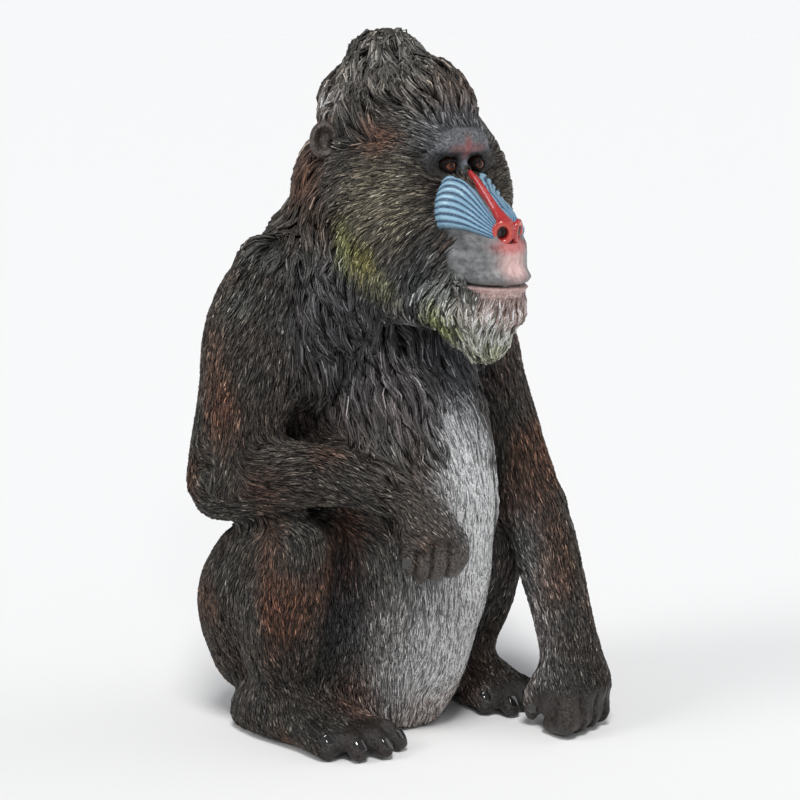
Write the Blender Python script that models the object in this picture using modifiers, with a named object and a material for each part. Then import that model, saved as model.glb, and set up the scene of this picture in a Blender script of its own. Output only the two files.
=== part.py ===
"""A painted resin statue of a sitting male mandrill, life size, in metres.

The animal faces -Y, its own left is +X, and it sits on a floor at Z = 0.  The body is modelled whole from
lofts, fused by a voxel remesh, given its locks of moulded fur, and then parted into the pieces that a
person would name.  Eyes, ears, nose and cheek ridges are set into the head afterwards.
"""

import math
import random

import bmesh
import bpy
from mathutils import Matrix, Vector
from mathutils.bvhtree import BVHTree

# Driving sizes of the statue
EYE_SPACING = 0.047
EYE_RADIUS = 0.0115
EYE_CENTRE = Vector((EYE_SPACING / 2, -0.083, 0.763))
CREST_TOP = Vector((0.0, 0.058, 0.912))
TOE_RADIUS = 0.0145
FINGER_RADIUS = 0.0120
GAP = 0.0003

# How the body is fused and parted
VOXEL = 0.0042
FINE_SMOOTHING = 3
BROAD_SMOOTHING = 14
BODY_TRIANGLES = 3500
LOFT_SIDES = 24
CUTTER_SIDES = 8
BLOCK_OVERLAP = 0.003
PART_MARGIN = 0.010
FAR = 1.5
FLAT_ANGLE = math.radians(0.4)
WELD = 0.000002

X, Y, Z = Vector((1, 0, 0)), Vector((0, 1, 0)), Vector((0, 0, 1))

# Stations along a form: x, y, z, half width across, half depth front to back
BACK = [
    (0.010, 0.138, 0.020, 0.124, 0.126),
    (0.010, 0.132, 0.070, 0.146, 0.147),
    (0.010, 0.126, 0.140, 0.152, 0.153),
    (0.008, 0.120, 0.220, 0.150, 0.155),
    (0.004, 0.120, 0.300, 0.142, 0.150),
    (0.000, 0.125, 0.380, 0.142, 0.145),
    (0.000, 0.130, 0.460, 0.150, 0.140),
    (0.000, 0.132, 0.540, 0.162, 0.136),
    (0.000, 0.122, 0.600, 0.158, 0.126),
    (0.000, 0.096, 0.650, 0.130, 0.106),
    (0.000, 0.070, 0.700, 0.096, 0.096),
]
SHOULDER_FRONT = [
    (0.062, 0.034, 0.612, 0.058, 0.060),
    (0.108, 0.052, 0.555, 0.064, 0.060),
    (0.142, 0.074, 0.490, 0.050, 0.048),
]
SHOULDER_BACK = [
    (0.075, 0.146, 0.618, 0.058, 0.058),
    (0.118, 0.160, 0.556, 0.066, 0.064),
    (0.140, 0.150, 0.480, 0.052, 0.054),
]
BELLY = [
    (0.030, 0.040, 0.034, 0.044, 0.044),
    (0.024, 0.036, 0.070, 0.066, 0.066),
    (0.018, 0.030, 0.107, 0.082, 0.078),
    (0.012, 0.028, 0.150, 0.096, 0.092),
    (0.006, 0.020, 0.215, 0.110, 0.104),
    (0.000, 0.026, 0.320, 0.120, 0.120),
    (0.000, 0.044, 0.390, 0.122, 0.118),
    (0.000, 0.066, 0.450, 0.126, 0.112),
    (0.000, 0.085, 0.520, 0.120, 0.100),
]
HOOD = [
    (0.000, 0.075, 0.590, 0.094, 0.098),
    (0.000, 0.066, 0.630, 0.110, 0.122),
    (0.000, 0.056, 0.680, 0.120, 0.130),
    (0.000, 0.050, 0.715, 0.118, 0.137),
    (0.000, 0.044, 0.762, 0.106, 0.134),
    (0.000, 0.044, 0.788, 0.098, 0.129),
    (0.000, 0.048, 0.813, 0.088, 0.122),
    (0.000, 0.056, 0.840, 0.075, 0.108),
    (0.000, 0.062, 0.866, 0.058, 0.086),
    (0.000, 0.064, 0.884, 0.038, 0.058),
]
CHEEK = [
    (0.052, -0.026, 0.800, 0.032, 0.034),
    (0.062, -0.038, 0.752, 0.044, 0.048),
    (0.066, -0.042, 0.700, 0.046, 0.050),
    (0.062, -0.036, 0.650, 0.042, 0.046),
]
RUFF = [
    (0.084, -0.004, 0.720, 0.038, 0.050),
    (0.086, -0.014, 0.670, 0.036, 0.052),
    (0.076, -0.024, 0.620, 0.030, 0.044),
    (0.058, -0.036, 0.585, 0.022, 0.032),
]
MUZZLE = [
    (0.000, -0.030, 0.705, 0.078, 0.064),
    (0.000, -0.082, 0.692, 0.062, 0.057),
    (0.000, -0.122, 0.677, 0.050, 0.043),
    (0.000, -0.150, 0.660, 0.043, 0.035),
]
UPPER_JAW = [
    (0.000, -0.040, 0.658, 0.080, 0.044),
    (0.000, -0.088, 0.652, 0.066, 0.036),
    (0.000, -0.128, 0.648, 0.053, 0.030),
    (0.000, -0.155, 0.645, 0.043, 0.026),
]
LOWER_JAW = [
    (0.000, -0.030, 0.602, 0.076, 0.044),
    (0.000, -0.080, 0.594, 0.064, 0.038),
    (0.000, -0.120, 0.590, 0.053, 0.034),
    (0.000, -0.148, 0.587, 0.042, 0.030),
]
BEARD = [
    (0.000, -0.116, 0.598, 0.054, 0.060),
    (0.000, -0.121, 0.568, 0.048, 0.052),
    (0.000, -0.134, 0.548, 0.026, 0.030),
]
BROW = [
    (-0.060, -0.042, 0.786, 0.020, 0.020),
    (-0.032, -0.074, 0.793, 0.020, 0.022),
    (0.000, -0.078, 0.795, 0.019, 0.021),
    (0.032, -0.074, 0.793, 0.020, 0.022),
    (0.060, -0.042, 0.786, 0.020, 0.020),
]
UPPER_LIP = [
    (-0.042, -0.124, 0.629, 0.006, 0.006),
    (-0.038, -0.158, 0.629, 0.007, 0.006),
    (-0.020, -0.181, 0.629, 0.008, 0.007),
    (0.000, -0.187, 0.629, 0.009, 0.007),
    (0.020, -0.181, 0.629, 0.008, 0.007),
    (0.038, -0.158, 0.629, 0.007, 0.006),
    (0.042, -0.124, 0.629, 0.006, 0.006),
]
LOWER_LIP = [
    (-0.041, -0.124, 0.611, 0.006, 0.006),
    (-0.037, -0.155, 0.609, 0.007, 0.006),
    (-0.020, -0.177, 0.608, 0.008, 0.007),
    (0.000, -0.183, 0.608, 0.008, 0.007),
    (0.020, -0.177, 0.608, 0.008, 0.007),
    (0.037, -0.155, 0.609, 0.007, 0.006),
    (0.041, -0.124, 0.611, 0.006, 0.006),
]
UPPER_ARM_R = [
    (-0.146, 0.105, 0.606, 0.066, 0.068),
    (-0.186, 0.105, 0.545, 0.064, 0.070),
    (-0.199, 0.106, 0.470, 0.060, 0.066),
    (-0.212, 0.116, 0.405, 0.055, 0.060),
    (-0.218, 0.122, 0.352, 0.054, 0.057),
]
FOREARM_R = [
    (-0.220, 0.124, 0.354, 0.058, 0.054),
    (-0.190, 0.075, 0.366, 0.050, 0.050),
    (-0.150, 0.015, 0.368, 0.041, 0.042),
    (-0.112, -0.040, 0.360, 0.032, 0.034),
    (-0.084, -0.080, 0.346, 0.027, 0.028),
]
UPPER_ARM_L = [
    (0.140, 0.100, 0.600, 0.066, 0.068),
    (0.170, 0.090, 0.530, 0.059, 0.064),
    (0.182, 0.064, 0.450, 0.052, 0.056),
    (0.186, 0.040, 0.395, 0.050, 0.052),
    (0.188, 0.012, 0.335, 0.048, 0.050),
]
FOREARM_L = [
    (0.188, 0.012, 0.335, 0.048, 0.050),
    (0.188, -0.024, 0.285, 0.047, 0.048),
    (0.184, -0.050, 0.237, 0.045, 0.047),
    (0.178, -0.085, 0.170, 0.041, 0.043),
    (0.175, -0.106, 0.120, 0.040, 0.042),
]
THIGH = [
    (0.112, 0.198, 0.100, 0.070, 0.070),
    (0.150, 0.170, 0.175, 0.072, 0.072),
    (0.160, 0.128, 0.232, 0.067, 0.068),
    (0.164, 0.078, 0.264, 0.056, 0.056),
    (0.166, 0.045, 0.270, 0.048, 0.050),
]
SHIN_R = [
    (-0.166, 0.045, 0.262, 0.050, 0.050),
    (-0.168, 0.066, 0.212, 0.054, 0.066),
    (-0.162, 0.088, 0.150, 0.050, 0.068),
    (-0.152, 0.098, 0.100, 0.042, 0.056),
    (-0.148, 0.100, 0.068, 0.038, 0.048),
]
SHIN_L = [
    (0.166, 0.045, 0.262, 0.050, 0.050),
    (0.170, 0.062, 0.212, 0.054, 0.064),
    (0.172, 0.078, 0.150, 0.050, 0.062),
    (0.170, 0.086, 0.100, 0.042, 0.050),
    (0.168, 0.090, 0.068, 0.038, 0.046),
]
FOOT_R = [
    (-0.156, 0.162, 0.026, 0.032, 0.032),
    (-0.156, 0.112, 0.042, 0.040, 0.048),
    (-0.140, 0.058, 0.036, 0.050, 0.038),
    (-0.122, 0.002, 0.022, 0.061, 0.025),
]
FOOT_L = [
    (0.176, 0.160, 0.028, 0.030, 0.032),
    (0.172, 0.108, 0.044, 0.038, 0.046),
    (0.166, 0.060, 0.036, 0.044, 0.036),
    (0.162, 0.020, 0.022, 0.052, 0.025),
]
TOE_TIPS_R = [(-0.166, -0.020), (-0.138, -0.052), (-0.103, -0.062), (-0.068, -0.048), (-0.056, 0.014)]
TOE_TIPS_L = [(0.206, -0.008), (0.174, -0.030), (0.142, -0.036), (0.121, -0.006), (0.126, 0.040)]
PALM_R = [
    (-0.084, -0.080, 0.348, 0.028, 0.026),
    (-0.074, -0.098, 0.326, 0.036, 0.024),
    (-0.066, -0.110, 0.300, 0.040, 0.021),
]
PALM_L = [
    (0.175, -0.106, 0.122, 0.041, 0.042),
    (0.178, -0.112, 0.086, 0.053, 0.044),
    (0.180, -0.114, 0.058, 0.060, 0.045),
    (0.180, -0.112, 0.044, 0.058, 0.043),
]
KNUCKLE_LINE_R = Vector((0.89, -0.45, 0.0)).normalized()
KNUCKLE_LINE_L = Vector((0.97, 0.24, 0.0)).normalized()
NOSE_RIDGE = [
    (0.000, -0.092, 0.756, 0.0055, 0.0090),
    (0.000, -0.118, 0.734, 0.0070, 0.0110),
    (0.000, -0.144, 0.710, 0.0085, 0.0120),
    (0.000, -0.160, 0.694, 0.0120, 0.0120),
]
NOSTRIL_CENTRE = Vector((0.0122, -0.1765, 0.6842))
NOSTRIL_RIM = (0.0138, 0.0160, 0.0065)
NOSTRIL_HOLE = (0.0068, 0.0086, 0.0100)
CHEEK_RIDGES = 8
# The flange's upper and lower edges, from the eye forward, on the animal's left
FLANGE_TOP = [
    (0.0370, -0.0870, 0.7420),
    (0.0290, -0.0895, 0.7465),
    (0.0185, -0.0950, 0.7465),
    (0.0110, -0.1060, 0.7425),
    (0.0100, -0.1190, 0.7320),
    (0.0105, -0.1330, 0.7200),
    (0.0120, -0.1460, 0.7090),
    (0.0155, -0.1575, 0.6985),
]
FLANGE_BOTTOM = [
    (0.0545, -0.0990, 0.6860),
    (0.0535, -0.1090, 0.6860),
    (0.0515, -0.1190, 0.6865),
    (0.0480, -0.1300, 0.6870),
    (0.0435, -0.1400, 0.6865),
    (0.0385, -0.1500, 0.6840),
    (0.0330, -0.1590, 0.6800),
    (0.0270, -0.1665, 0.6770),
]
RIDGE_RISE = 0.0062
RIDGE_EDGE = 0.0010
RIDGE_ROOT = 0.0050
LOCK_SINK = 0.006
LOCK_EDGE = 0.0012

# Slits between the fingers: a middle point, the direction across the fingers, where along it the slits are,
# how far out of the middle they start and end, and their lowest and highest z
FINGER_SLITS = {
    "hand_R": ((-0.052, -0.118), KNUCKLE_LINE_R, (-0.0430, -0.0215, 0.0005), (0.005, 0.040), (0.200, 0.286)),
    "hand_L": ((0.172, -0.118), KNUCKLE_LINE_L, (-0.0265, 0.0010, 0.0285), (0.027, 0.060), (-0.020, 0.052)),
}
SLIT_WIDTH = 0.0030

# The mouth's slit and the outline of the lower jaw, as (y, z)
MOUTH_SLIT = [(-0.260, 0.6208), (-0.260, 0.6172), (-0.122, 0.6212), (-0.122, 0.6222)]
JAW_OUTLINE = [(-0.260, 0.6190), (-0.121, 0.6217), (-0.070, 0.5900), (-0.040, 0.4800), (-0.260, 0.4800)]

# Where each limb is cut across: a point and the direction of the part beyond
JOINTS = {
    "upper_arm_R": (
        ((-0.219, 0.123, 0.356), (0.34, -0.78, -0.97)),
        ((-0.086, -0.078, 0.348), (0.45, -0.75, -0.50)),
    ),
    "upper_arm_L": (
        ((0.188, 0.012, 0.335), (0.0, -0.35, -0.94)),
        ((0.175, -0.104, 0.122), (0.0, -0.25, -0.97)),
    ),
    "thigh_R": (
        ((-0.166, 0.045, 0.268), (-0.23, -0.41, -0.25)),
        ((-0.150, 0.100, 0.074), (0.0, 0.0, -1.0)),
    ),
    "thigh_L": (
        ((0.166, 0.045, 0.268), (0.23, -0.41, -0.25)),
        ((0.168, 0.090, 0.074), (0.0, 0.0, -1.0)),
    ),
}
BELLY_BACK = 0.060

# Paint of each node by the start of its name: base colour and roughness
FINISHES = (
    ("eye_", ((0.10, 0.035, 0.012), 0.15)),
    ("nose", ((0.62, 0.045, 0.035), 0.30)),
    ("cheek_ridges", ((0.20, 0.42, 0.66), 0.40)),
    ("belly", ((0.42, 0.41, 0.39), 0.60)),
    ("jaw", ((0.36, 0.32, 0.24), 0.55)),
    ("hand", ((0.075, 0.055, 0.045), 0.50)),
    ("foot", ((0.060, 0.045, 0.040), 0.45)),
    ("ear", ((0.11, 0.085, 0.070), 0.55)),
    ("", ((0.060, 0.052, 0.046), 0.60)),
)
CRISP = [
    (Vector((0.000, -0.140, 0.640)), 0.075),
    (Vector((-0.065, -0.105, 0.285)), 0.075),
    (Vector((0.175, -0.110, 0.040)), 0.075),
    (Vector((-0.110, -0.010, 0.015)), 0.085),
    (Vector((0.160, 0.000, 0.015)), 0.075),
]
TAIL = [
    (0.010, 0.262, 0.150, 0.017, 0.017),
    (0.010, 0.288, 0.178, 0.015, 0.015),
    (0.010, 0.296, 0.204, 0.012, 0.012),
]


def clear_scene():
    for thing in list(bpy.data.objects):
        bpy.data.objects.remove(thing)


def collection(name):
    made = bpy.data.collections.new(name)
    bpy.context.scene.collection.children.link(made)
    return made


def catmull(a, b, c, d, t):
    """A point between b and c on the smooth curve through a, b, c and d."""
    return 0.5 * (
        2 * b + (c - a) * t + (2 * a - 5 * b + 4 * c - d) * t * t + (3 * b - a - 3 * c + d) * t ** 3
    )


def refine(stations, steps):
    """The stations with steps - 1 more between each pair, on a smooth curve."""
    ends = [stations[0]] + list(stations) + [stations[-1]]
    rows = [[float(v) for v in row] for row in ends]
    out = []
    for i in range(1, len(rows) - 2):
        for k in range(steps):
            t = k / steps
            out.append([catmull(*(rows[i + j][n] for j in (-1, 0, 1, 2)), t) for n in range(len(rows[0]))])
    out.append(rows[-2])
    return out


def mesh_object(name, vertices, faces, home):
    mesh = bpy.data.meshes.new(name)
    mesh.from_pydata([tuple(v) for v in vertices], [], faces)
    mesh.update()
    thing = bpy.data.objects.new(name, mesh)
    home.objects.link(thing)
    return thing


def rewrite(thing, change):
    """Runs change on the object's mesh as a bmesh and writes it back."""
    work = bmesh.new()
    work.from_mesh(thing.data)
    change(work)
    work.to_mesh(thing.data)
    work.free()
    thing.data.update()


def solid(name, vertices, faces, home):
    """A closed body of triangles whose faces point outwards."""
    made = mesh_object(name, vertices, faces, home)

    def change(work):
        bmesh.ops.triangulate(work, faces=work.faces)
        bmesh.ops.recalc_face_normals(work, faces=work.faces)

    rewrite(made, change)
    return made


def sections_of(stations, across, sides, steps, margin, caps):
    """Rings of points along a form, with the rings of its rounded ends, and its two end points."""
    rows = refine(stations, steps)
    points = [Vector(r[:3]) for r in rows]
    sections = []
    for i, row in enumerate(rows):
        ahead = (points[min(i + 1, len(points) - 1)] - points[max(i - 1, 0)]).normalized()
        side = (across - ahead * ahead.dot(across)).normalized()
        sections.append((points[i], ahead, side, ahead.cross(side), row[3] + margin, row[4] + margin))
    poles = []
    for sign, section in ((-1, sections[0]), (1, sections[-1])):
        centre, ahead, side, front, wide, deep = section
        cap = []
        for angle in map(math.radians, caps):
            middle = centre + ahead * sign * min(wide, deep) * math.sin(angle)
            cap.append((middle, ahead, side, front, wide * math.cos(angle), deep * math.cos(angle)))
        sections = sections + cap if sign > 0 else cap[::-1] + sections
        poles.append(centre + ahead * sign * min(wide, deep))
    rings = []
    for centre, _, side, front, wide, deep in sections:
        turns = [math.tau * k / sides for k in range(sides)]
        rings.append([centre + side * wide * math.cos(t) + front * deep * math.sin(t) for t in turns])
    return rings, poles


def loft(name, stations, home, across=X, sides=LOFT_SIDES, steps=3, margin=0.0, caps=(25, 50, 75)):
    """A closed tube of elliptical sections with rounded ends.  across is the direction of the half width."""
    rings, poles = sections_of(stations, across, sides, steps, margin, caps)
    vertices = [point for ring in rings for point in ring] + poles
    first = len(rings) * sides
    last = first - sides
    faces = []
    for r in range(len(rings) - 1):
        for k in range(sides):
            k2 = (k + 1) % sides
            faces.append((r * sides + k, r * sides + k2, (r + 1) * sides + k2, (r + 1) * sides + k))
    for k in range(sides):
        k2 = (k + 1) % sides
        faces.append((first, k2, k))
        faces.append((first + 1, last + k, last + k2))
    return solid(name, vertices, faces, home)


def hulls(stations, across, margin, home):
    """Convex blocks, one between each two stations, that cover a form with a margin to spare."""
    rings, poles = sections_of(stations, across, CUTTER_SIDES, 1, margin, (45,))
    blocks = []
    for i in range(1, len(rings) - 2):
        near, far = rings[i], rings[i + 1]
        ahead = (sum(far, Vector()) - sum(near, Vector())).normalized() * BLOCK_OVERLAP
        points = [point - ahead for point in near] + [point + ahead for point in far]
        if i == 1:
            points += rings[0] + [poles[0]]
        if i == len(rings) - 3:
            points += rings[-1] + [poles[1]]
        work = bmesh.new()
        for point in points:
            work.verts.new(point)
        found = bmesh.ops.convex_hull(work, input=work.verts)
        bmesh.ops.delete(work, geom=list(set(found["geom_interior"] + found["geom_unused"])), context="VERTS")
        bmesh.ops.triangulate(work, faces=work.faces)
        mesh = bpy.data.meshes.new("block")
        work.to_mesh(mesh)
        work.free()
        block = bpy.data.objects.new("block", mesh)
        home.objects.link(block)
        blocks.append(block)
    return blocks


def mirrored(stations):
    return [(-row[0],) + tuple(row[1:]) for row in stations]


def ball(name, centre, radii, home, rings=8, turn=None):
    """An ellipsoid; turn is a rotation matrix."""
    work = bmesh.new()
    bmesh.ops.create_uvsphere(work, u_segments=2 * rings, v_segments=rings, radius=1.0)
    bmesh.ops.triangulate(work, faces=work.faces)
    place = Matrix.Translation(centre) @ (turn or Matrix.Identity(3)).to_4x4() @ Matrix.Diagonal((*radii, 1))
    bmesh.ops.transform(work, matrix=place, verts=work.verts)
    mesh = bpy.data.meshes.new(name)
    work.to_mesh(mesh)
    work.free()
    thing = bpy.data.objects.new(name, mesh)
    home.objects.link(thing)
    return thing


def prism(name, outline, half_width, home):
    """An outline of (y, z) points drawn out along X to both sides."""
    count = len(outline)
    vertices = [(side * half_width, y, z) for side in (-1, 1) for y, z in outline]
    faces = [tuple(range(count)), tuple(range(2 * count - 1, count - 1, -1))]
    for k in range(count):
        k2 = (k + 1) % count
        faces.append((k2, k, count + k, count + k2))
    return solid(name, vertices, faces, home)


def finger_slits(middle, across, places, depths, heights, home):
    """Upright blades, one for each gap between two fingers."""
    out = across.cross(Z)
    out = out if out.y < 0 else -out
    blades = []
    for place in places:
        work = bmesh.new()
        bmesh.ops.create_cube(work, size=1.0)
        centre = Vector((*middle, sum(heights) / 2)) + across * place + out * sum(depths) / 2
        turn = Matrix((across, out, across.cross(out))).transposed().to_4x4()
        size = Matrix.Diagonal((SLIT_WIDTH, depths[1] - depths[0], heights[1] - heights[0], 1))
        bmesh.ops.transform(work, matrix=Matrix.Translation(centre) @ turn @ size, verts=work.verts)
        mesh = bpy.data.meshes.new("slit")
        work.to_mesh(mesh)
        work.free()
        blade = bpy.data.objects.new("slit", mesh)
        home.objects.link(blade)
        blades.append(blade)
    return blades


def half_space(point, normal, home):
    """A large block that fills the side of a plane that its normal points to."""
    work = bmesh.new()
    bmesh.ops.create_cube(work, size=2 * FAR)
    turn = Vector(normal).normalized().to_track_quat("Z", "Y").to_matrix().to_4x4()
    place = Matrix.Translation(point) @ turn @ Matrix.Translation((0, 0, FAR))
    bmesh.ops.transform(work, matrix=place, verts=work.verts)
    mesh = bpy.data.meshes.new("half_space")
    work.to_mesh(mesh)
    work.free()
    thing = bpy.data.objects.new("half_space", mesh)
    home.objects.link(thing)
    return thing


def duplicate(thing, name, home):
    copy = bpy.data.objects.new(name, thing.data.copy())
    home.objects.link(copy)
    return copy


def apply_modifiers(thing):
    graph = bpy.context.evaluated_depsgraph_get()
    mesh = bpy.data.meshes.new_from_object(thing.evaluated_get(graph))
    thing.modifiers.clear()
    old, thing.data = thing.data, mesh
    bpy.data.meshes.remove(old)


def boolean(thing, other, operation):
    """Cuts or joins with another closed mesh, which is used up."""
    change = thing.modifiers.new("cut", "BOOLEAN")
    change.operation = operation
    change.solver = "MANIFOLD"
    change.object = other
    apply_modifiers(thing)
    bpy.data.objects.remove(other)


def union_all(thing, others):
    """Fuses the other closed meshes with thing in one Boolean."""
    if not others:
        return
    pool = bpy.data.collections.new("pool")
    bpy.context.scene.collection.children.link(pool)
    for other in others:
        pool.objects.link(other)
    change = thing.modifiers.new("join", "BOOLEAN")
    change.operation = "UNION"
    change.solver = "MANIFOLD"
    change.operand_type = "COLLECTION"
    change.collection = pool
    apply_modifiers(thing)
    for other in list(pool.objects):
        bpy.data.objects.remove(other)
    bpy.data.collections.remove(pool)


def keep_largest(thing):
    """Keeps the mesh's largest closed surface; crumbs that only touch it along an edge go too."""

    def change(work):
        bmesh.ops.remove_doubles(work, verts=work.verts, dist=1e-6)
        left, shells = set(work.faces), []
        while left:
            stack = [left.pop()]
            shell = list(stack)
            while stack:
                for edge in stack.pop().edges:
                    for near in edge.link_faces if len(edge.link_faces) == 2 else ():
                        if near in left:
                            left.remove(near)
                            stack.append(near)
                            shell.append(near)
            shells.append(shell)
        shells.sort(key=lambda faces: sum(f.calc_area() for f in faces))
        loose = [face for shell in shells[:-1] for face in shell]
        bmesh.ops.delete(work, geom=loose, context="FACES")

    rewrite(thing, change)


def flat_faces(thing):
    """Joins the scraps of each flat face that the cuts left, then triangulates."""

    def change(work):
        bmesh.ops.remove_doubles(work, verts=work.verts, dist=WELD)
        bmesh.ops.dissolve_degenerate(work, dist=WELD, edges=work.edges)
        bmesh.ops.dissolve_limit(
            work, angle_limit=FLAT_ANGLE, verts=work.verts, edges=work.edges, use_dissolve_boundaries=False
        )
        bmesh.ops.triangulate(work, faces=work.faces)

    rewrite(thing, change)


def grown(thing, by, home):
    """A copy of a closed mesh with its skin moved out by a small distance."""
    copy = duplicate(thing, "grown", home)

    def change(work):
        work.normal_update()
        moves = [(v, v.normal * by * min(v.calc_shell_factor(), 3.0)) for v in work.verts]
        for vertex, move in moves:
            vertex.co += move

    rewrite(copy, change)
    return copy


def digit(base, knuckle, tip, radius):
    """Stations of a toe or finger from its root over its knuckle to its tip."""
    rows = [Vector(base), Vector(knuckle), Vector(tip)]
    sizes = [(radius * 1.05, radius), (radius, radius), (radius * 0.92, radius * 0.86)]
    return [(*p, w, d) for p, (w, d) in zip(rows, sizes)]


def toes(tips, foot):
    """Five toes that spread from the ball of the foot to their tips."""
    ball_x, ball_y = foot[-1][0], foot[-1][1]
    out = []
    for number, (x, y) in enumerate(tips):
        big = number == len(tips) - 1
        radius = TOE_RADIUS * (1.1 if big else 1.0)
        start = Vector((ball_x + (x - ball_x) * 0.62, ball_y + (0.030 if big else 0.004), 0.022))
        end = Vector((x, y + 0.004, radius * 0.85))
        middle = start.lerp(end, 0.55) + Vector((0, 0, 0.010))
        out.append(digit(start, middle, end, radius))
    return out


def right_fingers():
    """Four fingers of the hanging hand; the outermost is curled so that its nail looks forward."""
    knuckles = Vector((-0.052, -0.118, 0.293))
    out = []
    for number, along in enumerate((-0.046, -0.027, -0.006, 0.015)):
        root = knuckles + KNUCKLE_LINE_R * along + Vector((0, 0, 0.002 * number))
        if number == 0:
            bend = root + Vector((-0.006, -0.004, -0.022))
            tip = root + Vector((-0.002, -0.002, -0.034))
        else:
            bend = root + Vector((0.000, -0.004, -0.028))
            tip = root + Vector((0.004, 0.016, -0.052))
        out.append(digit(root, bend, tip, FINGER_RADIUS))
    return out


def left_fingers():
    """Four fingers folded under the fist, resting on their middle bones, and the thumb."""
    middle = Vector((0.172, -0.118, 0.0))
    out = []
    for along in (-0.040, -0.013, 0.015, 0.042):
        root = middle + KNUCKLE_LINE_L * along + Vector((-0.002, -0.022, 0.046))
        bend = root + Vector((-0.003, -0.006, -0.028))
        tip = root + Vector((0.004, 0.034, -0.034))
        out.append(digit(root, bend, tip, FINGER_RADIUS * 1.12))
    out.append(digit((0.142, -0.092, 0.075), (0.132, -0.082, 0.042), (0.138, -0.074, 0.014), FINGER_RADIUS))
    return out


def body_forms():
    """Every fleshy form of the body, grouped by the node it becomes: stations and the across direction."""
    return {
        "torso": [
            (BACK, X), (SHOULDER_FRONT, X), (mirrored(SHOULDER_FRONT), X), (SHOULDER_BACK, X),
            (mirrored(SHOULDER_BACK), X),
        ],
        "belly": [(BELLY, X)],
        "head": [
            (HOOD, X), (CHEEK, X), (mirrored(CHEEK), X), (RUFF, X), (mirrored(RUFF), X), (MUZZLE, X),
            (UPPER_JAW, X), (BROW, Z), (UPPER_LIP, Z),
        ],
        "jaw": [(LOWER_JAW, X), (BEARD, X), (LOWER_LIP, Z)],
        "hand_L": [(PALM_L, KNUCKLE_LINE_L)] + [(row, X) for row in left_fingers()],
        "hand_R": [(PALM_R, KNUCKLE_LINE_R)] + [(row, X) for row in right_fingers()],
        "forearm_L": [(FOREARM_L, X)],
        "forearm_R": [(FOREARM_R, Z)],
        "upper_arm_L": [(UPPER_ARM_L, X)],
        "upper_arm_R": [(UPPER_ARM_R, X)],
        "foot_L": [(FOOT_L, X)] + [(row, X) for row in toes(TOE_TIPS_L, FOOT_L)],
        "foot_R": [(FOOT_R, X)] + [(row, X) for row in toes(TOE_TIPS_R, FOOT_R)],
        "shin_L": [(SHIN_L, X)],
        "shin_R": [(SHIN_R, X)],
        "thigh_L": [(THIGH, X)],
        "thigh_R": [(mirrored(THIGH), X)],
    }


LIMBS = (
    ("arm_L", ("upper_arm_L", "forearm_L", "hand_L")),
    ("arm_R", ("upper_arm_R", "forearm_R", "hand_R")),
    ("leg_L", ("thigh_L", "shin_L", "foot_L")),
    ("leg_R", ("thigh_R", "shin_R", "foot_R")),
)


def softness(point):
    """0 at the hands, feet and muzzle, whose small forms stay crisp, and 1 on the broad forms."""
    keep = min((point - centre).length / reach for centre, reach in CRISP)
    return min(1.0, max(0.0, 2.5 * (keep - 1.0)))


def fused_body(forms, home):
    """All forms as one smooth skin, with flats where it meets the floor."""
    lofts = []
    for name, rows in forms.items():
        for stations, across in rows:
            lofts.append(loft(name, stations, home, across=across, steps=4))
    body = lofts[0]
    with bpy.context.temp_override(active_object=body, selected_editable_objects=lofts):
        bpy.ops.object.join()
    body.name = "body"
    remesh = body.modifiers.new("fuse", "REMESH")
    remesh.mode = "VOXEL"
    remesh.voxel_size = VOXEL
    apply_modifiers(body)
    broad = body.vertex_groups.new(name="broad")
    for vertex in body.data.vertices:
        broad.add([vertex.index], softness(vertex.co), "REPLACE")
    for group, rounds in (("", FINE_SMOOTHING), ("broad", BROAD_SMOOTHING)):
        smooth = body.modifiers.new("soften", "SMOOTH")
        smooth.iterations = rounds
        smooth.factor = 0.5
        smooth.vertex_group = group
    apply_modifiers(body)
    count = sum(len(p.vertices) - 2 for p in body.data.polygons)
    thin = body.modifiers.new("thin", "DECIMATE")
    thin.ratio = BODY_TRIANGLES / count
    thin.use_collapse_triangulate = True
    apply_modifiers(body)
    boolean(body, half_space((0, 0, 0), -Z, home), "DIFFERENCE")
    keep_largest(body)
    return body


def take(name, whole, shapes, home, scrap):
    """Parts whole in two: what lies inside the shapes is returned, and whole keeps the rest, a gap away."""
    cutters = []
    for margin in (PART_MARGIN, PART_MARGIN + GAP):
        blocks = [block for stations, across in shapes for block in hulls(stations, across, margin, scrap)]
        union_all(blocks[0], blocks[1:])
        cutters.append(blocks[0])
    piece = duplicate(whole, name, home)
    boolean(piece, cutters[0], "INTERSECT")
    boolean(whole, cutters[1], "DIFFERENCE")
    keep_largest(piece)
    keep_largest(whole)
    return piece


def slice_off(name, whole, point, normal, home, scrap):
    """Parts whole by a plane: the side the normal points to is returned, and whole keeps the other."""
    normal = Vector(normal).normalized()
    point = Vector(point)
    piece = duplicate(whole, name, home)
    boolean(piece, half_space(point + normal * GAP / 2, -normal, scrap), "DIFFERENCE")
    boolean(whole, half_space(point - normal * GAP / 2, normal, scrap), "DIFFERENCE")
    keep_largest(piece)
    keep_largest(whole)
    return piece


def grown_prism(home):
    """The jaw's outline, a gap wider, to cut from the head."""
    core = prism("jaw_side", JAW_OUTLINE, 0.30, home)
    room = grown(core, GAP, home)
    bpy.data.objects.remove(core)
    return room


def set_in(host, feature, scrap):
    """Makes room in the host for a feature that is rooted in it, a gap wider all round."""
    boolean(host, grown(feature, GAP, scrap), "DIFFERENCE")
    keep_largest(host)


def skin_of(thing):
    graph = bpy.context.evaluated_depsgraph_get()
    return BVHTree.FromObject(thing, graph)


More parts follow.
